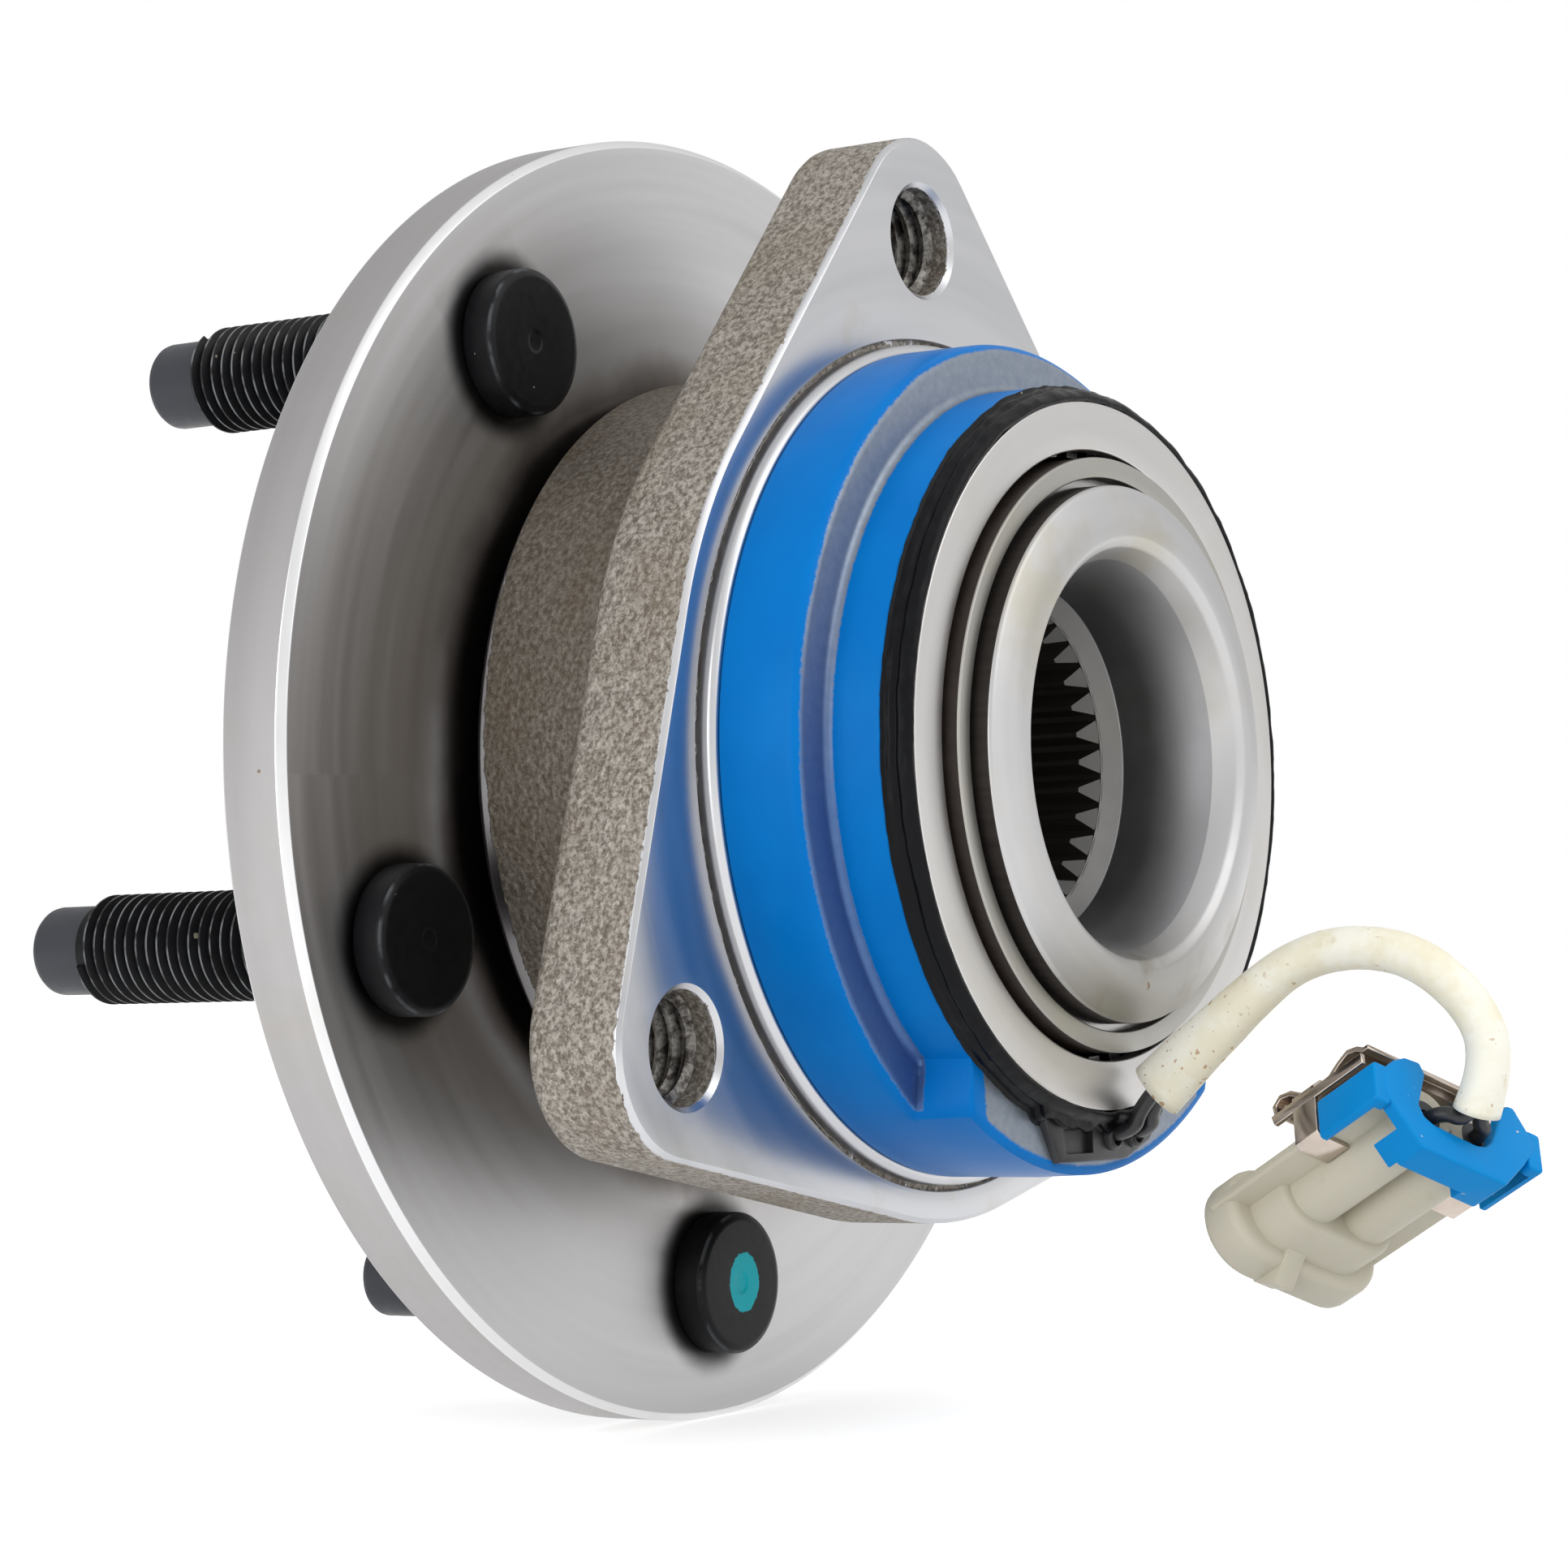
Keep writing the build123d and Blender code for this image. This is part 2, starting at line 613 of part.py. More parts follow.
# Connector, in its own plane: x across the two cavities, y down through the humps, z to the front
connector = Plane(origin=connector_at, x_dir=connector_width_axis, z_dir=connector_axis)
step_at = shell_body_length
skirt_at = step_at + shell_step_length
shell_length = skirt_at + shell_skirt_length
with BuildPart() as connector_shell:
    with BuildSketch(connector):
        with Locations((0, shell_wing_low + shell_wing_thickness / 2)):
            Rectangle(shell_wing_width, shell_wing_thickness)
    extrude(amount=shell_wing_length)
    with BuildSketch(connector):
        with GridLocations(2 * cavity_half_pitch, 0, 2, 1):
            Circle(cavity_r)
    extrude(amount=step_at)
    with BuildSketch(connector.offset(step_at)):
        RectangleRounded(shell_step_width, shell_step_height, shell_step_round)
    extrude(amount=shell_step_length)
    with BuildSketch(connector.offset(skirt_at)):
        RectangleRounded(shell_skirt_width, shell_skirt_height, shell_skirt_round)
    extrude(amount=shell_skirt_length)
    latch_middle = connector.from_local_coords(Vector(latch_across, 0, 0))
    with BuildSketch(Plane(origin=latch_middle, x_dir=connector.y_dir, z_dir=connector.x_dir)):
        with BuildLine():
            Polyline(*latch_outline, close=True)
        make_face()
    extrude(amount=latch_width / 2, both=True)
    with BuildSketch(connector.offset(shell_length - socket_depth)):
        RectangleRounded(socket_width, socket_height, socket_round)
    extrude(amount=socket_depth, mode=Mode.SUBTRACT)
    with BuildSketch(connector):
        with GridLocations(2 * cavity_half_pitch, 0, 2, 1):
            Circle(seal_plug_r + fit_gap)
    extrude(amount=seal_plug_length, mode=Mode.SUBTRACT)
    with BuildSketch(connector):
        with GridLocations(2 * cavity_half_pitch, 0, 2, 1):
            Circle(crimp_r + fit_gap)
    extrude(amount=shell_length - socket_depth, mode=Mode.SUBTRACT)
finish_piece(connector_shell.part, "connector_shell")

with BuildPart() as wire_seals:
    with BuildSketch(connector):
        with GridLocations(2 * cavity_half_pitch, 0, 2, 1):
            Circle(seal_plug_r)
            Circle(wire_r + fit_gap, mode=Mode.SUBTRACT)
    extrude(amount=seal_plug_length)
finish_piece(wire_seals.part, "wire_seals")

crimp_end = shell_length - socket_depth
with BuildPart() as terminal_pins:
    with BuildSketch(connector.offset(seal_plug_length)):
        with GridLocations(2 * cavity_half_pitch, 0, 2, 1):
            Circle(crimp_r)
    extrude(amount=crimp_end - seal_plug_length)
    with BuildSketch(connector.offset(crimp_end)):
        with GridLocations(2 * cavity_half_pitch, 0, 2, 1):
            Rectangle(blade_width, blade_thickness)
    extrude(amount=blade_reach - crimp_end)
finish_piece(terminal_pins.part, "terminal_pins")


with BuildPart() as connector_lock:
    with BuildSketch(connector.offset(-lock_wall)):
        with BuildLine():
            Polyline(*lock_rim, close=True)
        make_face()
    extrude(amount=lock_wall + lock_length)
    with BuildSketch(connector.offset(-lock_wall)):
        with GridLocations(lock_arm_inner + lock_arm_outer, 0, 2, 1):
            with Locations((0, (lock_arm_top + lock_arm_foot) / 2)):
                Rectangle(lock_arm_outer - lock_arm_inner, lock_arm_foot - lock_arm_top)
    extrude(amount=lock_wall + lock_arm_length)
    room_foot = cavity_r + fit_gap
    with BuildSketch(connector):
        with Locations((0, (room_foot - lock_room_height) / 2)):
            Rectangle(shell_wing_width + 2 * fit_gap, room_foot + lock_room_height)
    extrude(amount=lock_arm_length, mode=Mode.SUBTRACT)
finish_piece(connector_lock.part, "connector_lock")

clip_inner_width = shell_wing_width + 2 * fit_gap
clip_inner_foot = shell_wing_low + shell_wing_thickness + fit_gap
with BuildPart() as connector_clip:
    with BuildSketch(connector.offset(clip_start)):
        with Locations((0, (clip_top + clip_inner_foot) / 2)):
            Rectangle(clip_inner_width + 2 * clip_sheet, clip_inner_foot - clip_top + 2 * clip_sheet)
            Rectangle(clip_inner_width, clip_inner_foot - clip_top, mode=Mode.SUBTRACT)
        with Locations((0, clip_inner_foot + clip_sheet / 2)):
            Rectangle(clip_inner_width - 2 * clip_leg, 2 * clip_sheet, mode=Mode.SUBTRACT)
    extrude(amount=clip_width)
    with BuildSketch(connector.offset(clip_leaf_start)):
        with Locations((0, clip_top - clip_sheet / 2)):
            Rectangle(clip_leaf_width, clip_sheet)
    extrude(amount=clip_start - clip_leaf_start)
finish_piece(connector_clip.part, "connector_clip")


def tube_along(route, radii, outer_r, inner_r=0.0):
    """Sweep a round section along straight runs and arcs in the open part."""
    with BuildLine() as line:
        FilletPolyline(*route, radius=radii)
    path = line.wires()[0]
    with BuildSketch(Plane(origin=path @ 0, z_dir=path % 0)) as section:
        Circle(outer_r)
        if inner_r:
            Circle(inner_r, mode=Mode.SUBTRACT)
    sweep(section.sketch, path=path)
    return path.length


# Sleeve over the two wires
sleeve_radii = bend_radii(sleeve_route)
with BuildPart() as wire_sleeve:
    sleeve_length = tube_along(sleeve_route, sleeve_radii, sleeve_r, sleeve_bore_r)
finish_piece(wire_sleeve.part, "wire_sleeve")

# Wires, side by side in the sleeve and spread at both ends
with BuildPart() as sensor_wires:
    first, second = (Vector(*point) for point in sleeve_route[:2])
    last_but_one, last = (Vector(*point) for point in sleeve_route[-2:])
    lead_out = first - (second - first).normalized() * wire_lead_out
    lead_in = last + (last - last_but_one).normalized() * wire_lead_in
    for side in (-1, 1):
        shift = Vector(side * wire_pair_half, 0, 0)
        cavity = connector.from_local_coords(Vector(side * cavity_half_pitch, 0, -wire_cavity_lead))
        pin_end = connector.from_local_coords(Vector(side * cavity_half_pitch, 0, seal_plug_length))
        block_x_side = block_x + side * wire_spacing / 2
        route = [(block_x_side, block_back_y - 2, block_z),
                 (block_x_side, block_face_y - wire_overhang, block_z), lead_out + shift]
        route += [Vector(*point) + shift for point in sleeve_route[1:-1]]
        route += [lead_in + shift, cavity, pin_end]
        route = [tuple(Vector(*point)) for point in route]
        radii = bend_radii(route)
        radii[2:2 + len(sleeve_radii)] = sleeve_radii
        wire_length = tube_along(route, radii, wire_r)
        print("wire", side, "radii", [round(r, 1) for r in radii], "length", round(wire_length, 1))
finish_piece(sensor_wires.part, "sensor_wires")

section_area = math.pi * (sleeve_r**2 - sleeve_bore_r**2)
print("sleeve radii", [round(r, 1) for r in sleeve_radii], "length", round(sleeve_length, 1))
print("sleeve volume", round(wire_sleeve.part.volume, 1), "section times length",
      round(section_area * sleeve_length, 1))
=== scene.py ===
import math

import bmesh
import bpy
from mathutils import Matrix, Vector, noise


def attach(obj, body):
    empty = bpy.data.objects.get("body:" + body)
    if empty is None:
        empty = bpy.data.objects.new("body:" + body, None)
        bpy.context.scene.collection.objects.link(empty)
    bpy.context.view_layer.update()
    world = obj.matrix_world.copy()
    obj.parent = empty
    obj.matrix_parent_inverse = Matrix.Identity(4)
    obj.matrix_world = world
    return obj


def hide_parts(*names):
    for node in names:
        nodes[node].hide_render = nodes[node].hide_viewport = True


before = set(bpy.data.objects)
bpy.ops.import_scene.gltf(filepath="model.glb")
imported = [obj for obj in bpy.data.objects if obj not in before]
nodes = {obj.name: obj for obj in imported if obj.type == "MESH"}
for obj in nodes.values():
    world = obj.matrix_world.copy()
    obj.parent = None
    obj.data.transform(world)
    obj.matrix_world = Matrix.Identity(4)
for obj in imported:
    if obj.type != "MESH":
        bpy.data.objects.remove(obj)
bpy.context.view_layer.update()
scene = bpy.context.scene


# Hub forging: wheel flange, spindle, splined bore and the rolled nose in one piece of bearing steel.
# It is forged, turned all over and ground, so the flange shows fine concentric tool lines that
# darken towards the barrel with oil and painted shade, and the nose is polished by the rolling that locks the
# ring.

mm = 0.001
turn_steps = 384
smooth_angle = math.radians(32)

nose_tip_y = -25.4 * mm
nose_r = 28.9 * mm
nose_lip_r = 22.2 * mm
nose_tip_r = 25.2 * mm
nose_back_y = -20.52 * mm
spindle_r = 25.0 * mm
inner_ring_end_y = 4.02 * mm
race_floor_r = 28.9 * mm
outboard_row_y = 17.5 * mm
ball_pitch_r = 34.5 * mm
race_r = 5.6 * mm
seal_land_r = 33.5 * mm
flange_face_y = 32.8 * mm
wheel_face_y = 41.0 * mm
flange_r = 72.85 * mm
wheel_pilot_r = 35.1 * mm
wheel_pilot_end_y = 53.0 * mm
nut_recess_r = 24.5 * mm
nut_seat_y = 40.0 * mm
spline_tip_r = 16.3 * mm
spline_root_r = 17.4 * mm
spline_tip_y = -8.0 * mm
spline_root_y = -10.2 * mm
spline_count = 33
flare_end_r = 19.1 * mm
flare_end_y = -11.8 * mm
stud_count = 5
stud_circle_r = 57.5 * mm
stud_start_angle = math.radians(53.4)
knurl_r = 6.6 * mm


def turn_outline(bm, outline, steps=turn_steps, axis_at=(0, 0, 0)):
    """Turn a closed outline of (radius, height, rounding) about an axis along Y through a point."""
    verts = [bm.verts.new((axis_at[0] + r, y, axis_at[2])) for r, y, *_ in outline]
    for first, second in zip(verts, verts[1:] + verts[:1]):
        bm.edges.new((first, second))
    before = set(bm.verts) - set(verts)
    for vert, (_, _, *rounding) in zip(verts, outline):
        if rounding:
            bmesh.ops.bevel(bm, geom=[vert], offset=rounding[0], offset_type="OFFSET", segments=4,
                            profile=0.5, affect="VERTICES", material=-1)
    wire = [v for v in bm.verts if v not in before]
    edges = [e for e in bm.edges if e.is_wire]
    bmesh.ops.spin(bm, geom=wire + edges, cent=axis_at, axis=(0, 1, 0), dvec=(0, 0, 0),
                   angle=2 * math.pi, steps=steps, use_merge=True, use_duplicate=False)


def arc_points(centre_r, centre_y, radius, start, end, count=8):
    """Points of (radius, height) on an arc in the section plane, from one angle to another."""
    angles = [math.radians(start + (end - start) * i / count) for i in range(count + 1)]
    return [(centre_r + radius * math.cos(a), centre_y + radius * math.sin(a)) for a in angles]


def make_piece(bm, name, materials, angle=smooth_angle):
    """Close the seams of a shape, face it outwards, and make it a smooth-shaded object."""
    bmesh.ops.remove_doubles(bm, verts=bm.verts[:], dist=0.002 * mm)
    bmesh.ops.dissolve_degenerate(bm, dist=0.001 * mm, edges=bm.edges[:])
    bmesh.ops.recalc_face_normals(bm, faces=bm.faces[:])
    mesh = bpy.data.meshes.new(name)
    bm.to_mesh(mesh)
    bm.free()
    mesh.polygons.foreach_set("use_smooth", [True] * len(mesh.polygons))
    mesh.set_sharp_from_angle(angle=angle)
    for material in materials:
        mesh.materials.append(material)
    piece = bpy.data.objects.new(name, mesh)
    scene.collection.objects.link(piece)
    return piece


def cut_piece(piece, cutters):
    """Cut closed shapes out of a piece, and bake the result into its mesh."""
    for cutter in cutters:
        cut = piece.modifiers.new("cut", "BOOLEAN")
        cut.operation = "DIFFERENCE"
        cut.solver = "EXACT"
        cut.object = cutter
    evaluated = piece.evaluated_get(bpy.context.evaluated_depsgraph_get())
    mesh = bpy.data.meshes.new_from_object(evaluated)
    piece.modifiers.clear()
    piece.data = mesh
    mesh.polygons.foreach_set("use_smooth", [True] * len(mesh.polygons))
    mesh.set_sharp_from_angle(angle=smooth_angle)
    for cutter in cutters:
        bpy.data.objects.remove(cutter)


def spin_copies(bm, geom, count, axis=(0, 1, 0)):
    """Repeat geometry evenly round the wheel axis, so many times in all."""
    bmesh.ops.spin(bm, geom=geom, cent=(0, 0, 0), axis=axis, dvec=(0, 0, 0), steps=count - 1,
                   angle=2 * math.pi * (count - 1) / count, use_merge=False, use_duplicate=True)


def extrude_outline(bm, points, move):
    """A closed block from a flat outline, as its corners on the near and on the moved end."""
    near = [bm.verts.new(point) for point in points]
    extruded = bmesh.ops.extrude_face_region(bm, geom=[bm.faces.new(near)])["geom"]
    moved = [v for v in extruded if isinstance(v, bmesh.types.BMVert)]
    bmesh.ops.translate(bm, vec=move, verts=moved)
    return near, moved


def colour(red, green, blue):
    """A screen colour of 0 to 255 a channel, as the linear colour that a socket takes."""
    channels = (c / 255 for c in (red, green, blue))
    return [c / 12.92 if c <= 0.04045 else ((c + 0.055) / 1.055) ** 2.4 for c in channels] + [1.0]


class Field:
    """The output of a shader node, whose sums and comparisons add nodes to the same tree."""

    def __init__(self, socket):
        self.socket = socket

    def node(self, kind, inputs, **settings):
        """Add a node to the tree, set it up, and feed its inputs with fields or values."""
        made = self.socket.id_data.nodes.new(kind)
        for key, value in settings.items():
            setattr(made, key, value)
        for key, value in inputs.items():
            feed(made.inputs[key], value)
        return made

    def math(self, operation, *terms):
        """The result of a Math node on the field and other terms."""
        made = self.node("ShaderNodeMath", dict(enumerate((self, *terms))), operation=operation)
        return Field(made.outputs[0])

    def __add__(self, other):
        return self.math("ADD", other)

    def __sub__(self, other):
        return self.math("SUBTRACT", other)

    def __mul__(self, other):
        return self.math("MULTIPLY", other)

    def __lt__(self, other):
        return self.math("LESS_THAN", other)

    def __gt__(self, other):
        return self.math("GREATER_THAN", other)

    def vector(self, operation, other):
        """The vector result of a Vector Math node on the field and another term."""
        return Field(self.node("ShaderNodeVectorMath", {0: self, 1: other}, operation=operation).outputs[0])

    def length(self):
        """The length of a vector."""
        return Field(self.node("ShaderNodeVectorMath", {0: self}, operation="LENGTH").outputs["Value"])

    def split(self):
        """The three parts of a vector."""
        return [Field(part) for part in self.node("ShaderNodeSeparateXYZ", {0: self}).outputs]

    def beside(self, other):
        """A vector of the field and another one."""
        return Field(self.node("ShaderNodeCombineXYZ", {0: self, 1: other}).outputs[0])

    def ease(self, low, high, to_low=0.0, to_high=1.0):
        """Smoothly map the field from one range to another."""
        inputs = {0: self, 1: low, 2: high, 3: to_low, 4: to_high}
        return Field(self.node("ShaderNodeMapRange", inputs, interpolation_type="SMOOTHSTEP").outputs[0])

    def lean(self, below, above):
        """Mix two values, with the field as the share of the second."""
        return Field(self.node("ShaderNodeMix", {0: self, 2: below, 3: above}, data_type="FLOAT").outputs[0])

    def blend(self, below, above):
        """Mix two colours, with the field as the share of the second."""
        return Field(self.node("ShaderNodeMix", {0: self, 6: below, 7: above}, data_type="RGBA").outputs[2])

    def cloud(self, scale, detail=2.0, roughness=0.5):
        """The height of a noise of so many clouds to the metre."""
        inputs = {"Vector": self, "Scale": scale, "Detail": detail, "Roughness": roughness}
        return Field(self.node("ShaderNodeTexNoise", inputs).outputs["Fac"])


def feed(socket, value):
    """Link a field to a socket, or set the socket's value."""
    if isinstance(value, Field):
        socket.id_data.links.new(value.socket, socket)
    else:
        socket.default_value = value


def start_group(name, inputs, outputs):
    """A shader node group with named sockets, its inputs as fields and its output sockets."""
    group = bpy.data.node_groups.new(name, "ShaderNodeTree")
    for in_out, sockets in (("INPUT", inputs), ("OUTPUT", outputs)):
        for socket, kind in sockets.items():
            group.interface.new_socket(name=socket, in_out=in_out, socket_type="NodeSocket" + kind)
    ins = group.nodes.new("NodeGroupInput").outputs
    outs = group.nodes.new("NodeGroupOutput").inputs
    return group, {socket: Field(ins[socket]) for socket in inputs}, outs


def use(group, **inputs):
    """Place a node group in the tree of its fields, and give its outputs as fields."""
    field = next(value for value in inputs.values() if isinstance(value, Field))
    named = {key.replace("_", " "): value for key, value in inputs.items()}
    made = field.node("ShaderNodeGroup", named, node_tree=group)
    return {socket.name: Field(socket) for socket in made.outputs}


def start_material(name, **sockets):
    """A material, its shader's sockets with the uniform ones set, and its Object coordinates."""
    material = bpy.data.materials.new(name)
    material.use_nodes = True
    shader = material.node_tree.nodes["Principled BSDF"].inputs
    for key, value in sockets.items():
        shader[key.replace("_", " ")].default_value = value
    place = Field(material.node_tree.nodes.new("ShaderNodeTexCoord").outputs["Object"])
    return material, shader, place


def finish(shader, tone, height, strength, distance, **sockets):
    """Feed a shader its colour, its other varied sockets, and a height through a Bump node."""
    bump = height.node("ShaderNodeBump", {"Height": height, "Strength": strength, "Distance": distance})
    for key, value in {"Base Color": tone, "Normal": Field(bump.outputs[0]), **sockets}.items():
        feed(shader[key], value)


# Where a point is about the wheel axis, in millimetres and radians
about_axis, ins, outs = start_group("about_axis", {"Place": "Vector"},
                                    {"Radius": "Float", "Angle": "Float", "Height": "Float"})
across, along, up = ins["Place"].split()
feed(outs["Radius"], across.beside(up).length() * 1000.0)
feed(outs["Angle"], up.math("ARCTAN2", across))
feed(outs["Height"], along * 1000.0)

# Fine tool lines that follow a turned surface, from the feed across it and the angle round it
tool_lines, ins, outs = start_group(
    "tool_lines", {"Feed": "Float", "Angle": "Float", "Lines per mm": "Float"},
    {"Height": "Float", "Tone": "Float"})
line_place = (ins["Feed"] * ins["Lines per mm"]).beside(ins["Angle"] * 1.4)
feed(outs["Height"], line_place.cloud(1.0, 3.0, 0.6))
feed(outs["Tone"], line_place.vector("MULTIPLY", (0.13, 0.7, 1.0)).cloud(1.0))

# Scattered flecks of lint, dust and rust: sharp-edged spots that few cells hold
flecks, ins, outs = start_group(
    "flecks", {"Place": "Vector", "Cells per m": "Float", "Share": "Float", "Size": "Float"},
    {"Mask": "Float"})
warp = ins["Place"].node("ShaderNodeTexNoise", {"Vector": ins["Place"], "Scale": 900.0, "Detail": 1.0})
warped = ins["Place"].vector("ADD", Field(warp.outputs["Color"]).vector("MULTIPLY", (0.0012,) * 3))
cells = warped.node("ShaderNodeTexVoronoi", {"Vector": warped, "Scale": ins["Cells per m"]}).outputs
chosen, size, _ = Field(cells["Color"]).split()
feed(outs["Mask"], (chosen < ins["Share"]) * (Field(cells["Distance"]) < size * ins["Size"]))

# How far a point is from the axis of the nearest wheel stud, in millimetres
stud_reach, ins, outs = start_group(
    "stud_reach", {"Radius": "Float", "Angle": "Float"}, {"Distance": "Float"})
sector = 2 * math.pi / stud_count
shifted = ins["Angle"] + (4 * math.pi - stud_start_angle + sector / 2)
in_sector = shifted.math("MODULO", sector) - sector / 2
outwards = ins["Radius"] * in_sector.math("COSINE") - stud_circle_r / mm
feed(outs["Distance"], outwards.beside(ins["Radius"] * in_sector.math("SINE")).length())


def follow_turning(shader, place):
    """Stretch a turned surface's highlights across its tool lines."""
    lines_run = place.node("ShaderNodeVectorMath", {0: (0.0, 1.0, 0.0), 1: place}, operation="CROSS_PRODUCT")
    feed(shader["Tangent"], Field(lines_run.outputs[0]))


# Turned steel of the flange: grey, oily and brown to black towards the barrel and round the heads; the black
# is partly oil and grime and partly painted shade by the barrel and painted shadow round the heads
flange_steel, shader, place = start_material("flange_steel", Metallic=1.0, Anisotropic=0.6)
at = use(about_axis, Place=place)
lines = use(tool_lines, Feed=at["Radius"], Angle=at["Angle"], Lines_per_mm=3.2)
near_stud = use(stud_reach, Radius=at["Radius"], Angle=at["Angle"])["Distance"]
smear = place.cloud(45.0, 4.0, 0.6)
ragged_oil_and_shade_r = smear * 7.0 + at["Radius"]
inboard = at["Height"] < wheel_face_y / mm - 4.0
oil = ragged_oil_and_shade_r.ease(50.5, 61.0, 1.0, 0.0) * inboard
burnt = ragged_oil_and_shade_r.ease(48.6, 53.0, 0.7, 0.0) * inboard
# Near-black next to the barrel: oil with painted shade of the gap under the barrel
dark = ragged_oil_and_shade_r.ease(46.8, 49.2, 0.55, 0.0) * inboard
# Dark halo round each head: grime with painted shadow
head_grime_and_shadow = (smear * 2.0 + near_stud).ease(9.3, 12.4, 0.95, 0.0) * inboard
dust = use(flecks, Place=place, Cells_per_m=170.0, Share=0.05, Size=0.16)["Mask"]
steel = lines["Tone"].blend(colour(178, 177, 177), colour(204, 203, 204))
steel = (oil * 0.28).blend(steel, colour(112, 104, 92))
steel = burnt.blend(steel, colour(78, 64, 50))
steel = dark.math("MAXIMUM", head_grime_and_shadow).blend(steel, colour(24, 21, 19))
steel = (dust * 0.7).blend(steel, colour(222, 214, 196))
follow_turning(shader, place)
finish(shader, steel, lines["Height"], 0.35, 0.012 * mm, Roughness=dust * 0.4 + (lines["Tone"] * 0.14 + 0.36))


# Heights over which the steel turns darker and yellow-grey towards the bottom
low_dark_full_z = -30.0 * mm
low_dark_top_z = -16.0 * mm


def bare_steel(name, tone, roughness, lines_per_mm, stain=0.25, low_darkening=0.0):
    """Bare machined steel with tool lines, a yellow-grey darkening towards the bottom, and dark nicks."""
    material, shader, place = start_material(name, Metallic=1.0, Anisotropic=0.3)
    at = use(about_axis, Place=place)
    lines = use(tool_lines, Feed=at["Radius"] + at["Height"], Angle=at["Angle"], Lines_per_mm=lines_per_mm)
    smear = place.cloud(70.0, 4.0, 0.6).ease(0.5, 0.72)
    low = smear * -0.006 + place.split()[2]
    nicks = use(flecks, Place=place, Cells_per_m=330.0, Share=0.05, Size=0.14)["Mask"]
    bare = lines["Tone"].blend(colour(*(c * 0.93 for c in tone)), colour(*tone))
    bare = (smear * stain).blend(bare, colour(171, 164, 138))
    # Darker and yellow-grey towards the bottom, by height only
    bare = low.ease(low_dark_full_z, low_dark_top_z, low_darkening, 0.0).blend(bare, colour(112, 108, 92))
    bare = (nicks * 0.75).blend(bare, colour(120, 98, 74))
    follow_turning(shader, place)
    rough = place.cloud(160.0, 5.0, 0.65) * 0.2 + (roughness - 0.1)
    finish(shader, bare, lines["Height"], 0.3, 0.01 * mm, Roughness=rough)
    return material


bright_steel = bare_steel("bright_steel", (232, 232, 233), 0.34, 5.0, 0.1)
rim_steel = bare_steel("rim_steel", (184, 182, 182), 0.56, 3.0, 0.1)
nose_steel = bare_steel("nose_steel", (194, 193, 193), 0.44, 3.0, 0.45, 0.75)
bore_steel = bare_steel("bore_steel", (160, 160, 162), 0.44, 4.0, 0.1)
cone_steel = bare_steel("cone_steel", (138, 137, 136), 0.6, 4.0, 0.1)

# Broached spline: left dark brown by the heat treatment and its oil; the same finish on the nose's outer wall
# by the tone ring is painted shade in that narrow gap
spline_dark_and_gap_shade, shader, place = start_material("spline_dark_and_gap_shade", Metallic=0.6, Roughness=0.5)
streak = place.vector("MULTIPLY", (1.0, 0.05, 1.0)).cloud(1500.0, 3.0)
finish(shader, streak.blend(colour(26, 22, 20), colour(58, 52, 48)), streak, 0.4, 0.02 * mm)

bm = bmesh.new()
race_arc = arc_points(ball_pitch_r, outboard_row_y, race_r, 180, 116.5)
turn_outline(bm, [
    (nose_lip_r, nose_tip_y + 0.7 * mm, 0.25 * mm), (nose_lip_r + 0.9 * mm, nose_tip_y, 0.3 * mm),
    (nose_tip_r, nose_tip_y, 1.1 * mm), (nose_r, -24.0 * mm, 0.5 * mm), (nose_r, nose_back_y),
    (spindle_r, nose_back_y), (spindle_r, inner_ring_end_y), (race_floor_r, inner_ring_end_y),
    *race_arc, (32.0 * mm, 24.6 * mm), (seal_land_r, 25.0 * mm), (seal_land_r, 31.3 * mm, 0.6 * mm),
    (36.0 * mm, flange_face_y, 0.4 * mm), (flange_r - 0.8 * mm, flange_face_y, 0.12 * mm),
    (flange_r, flange_face_y + 0.8 * mm, 0.12 * mm), (flange_r, wheel_face_y - 0.5 * mm, 0.1 * mm),
    (flange_r - 0.5 * mm, wheel_face_y, 0.1 * mm), (wheel_pilot_r + 2.2 * mm, wheel_face_y, 0.2 * mm),
    (wheel_pilot_r + 1.8 * mm, wheel_face_y - 0.6 * mm, 0.2 * mm),
    (wheel_pilot_r, wheel_face_y - 0.6 * mm, 0.5 * mm),
    (wheel_pilot_r, wheel_pilot_end_y - 1.2 * mm, 0.25 * mm),
    (wheel_pilot_r - 1.2 * mm, wheel_pilot_end_y, 0.25 * mm),
    (nut_recess_r + 1.0 * mm, wheel_pilot_end_y, 0.25 * mm), (nut_recess_r, wheel_pilot_end_y - 1.0 * mm),
    (nut_recess_r, nut_seat_y, 0.8 * mm), (spline_root_r + 0.6 * mm, nut_seat_y, 0.1 * mm),
    (spline_root_r, nut_seat_y - 0.6 * mm), (spline_root_r, spline_root_y),
    (flare_end_r, flare_end_y - 0.3 * mm, 0.1 * mm),
    (19.35 * mm, -19.2 * mm, 3.6 * mm)])
hub_finishes = [flange_steel, bright_steel, nose_steel, bore_steel, spline_dark_and_gap_shade, cone_steel, rim_steel]
hub_forging = make_piece(bm, "hub_forging", hub_finishes)

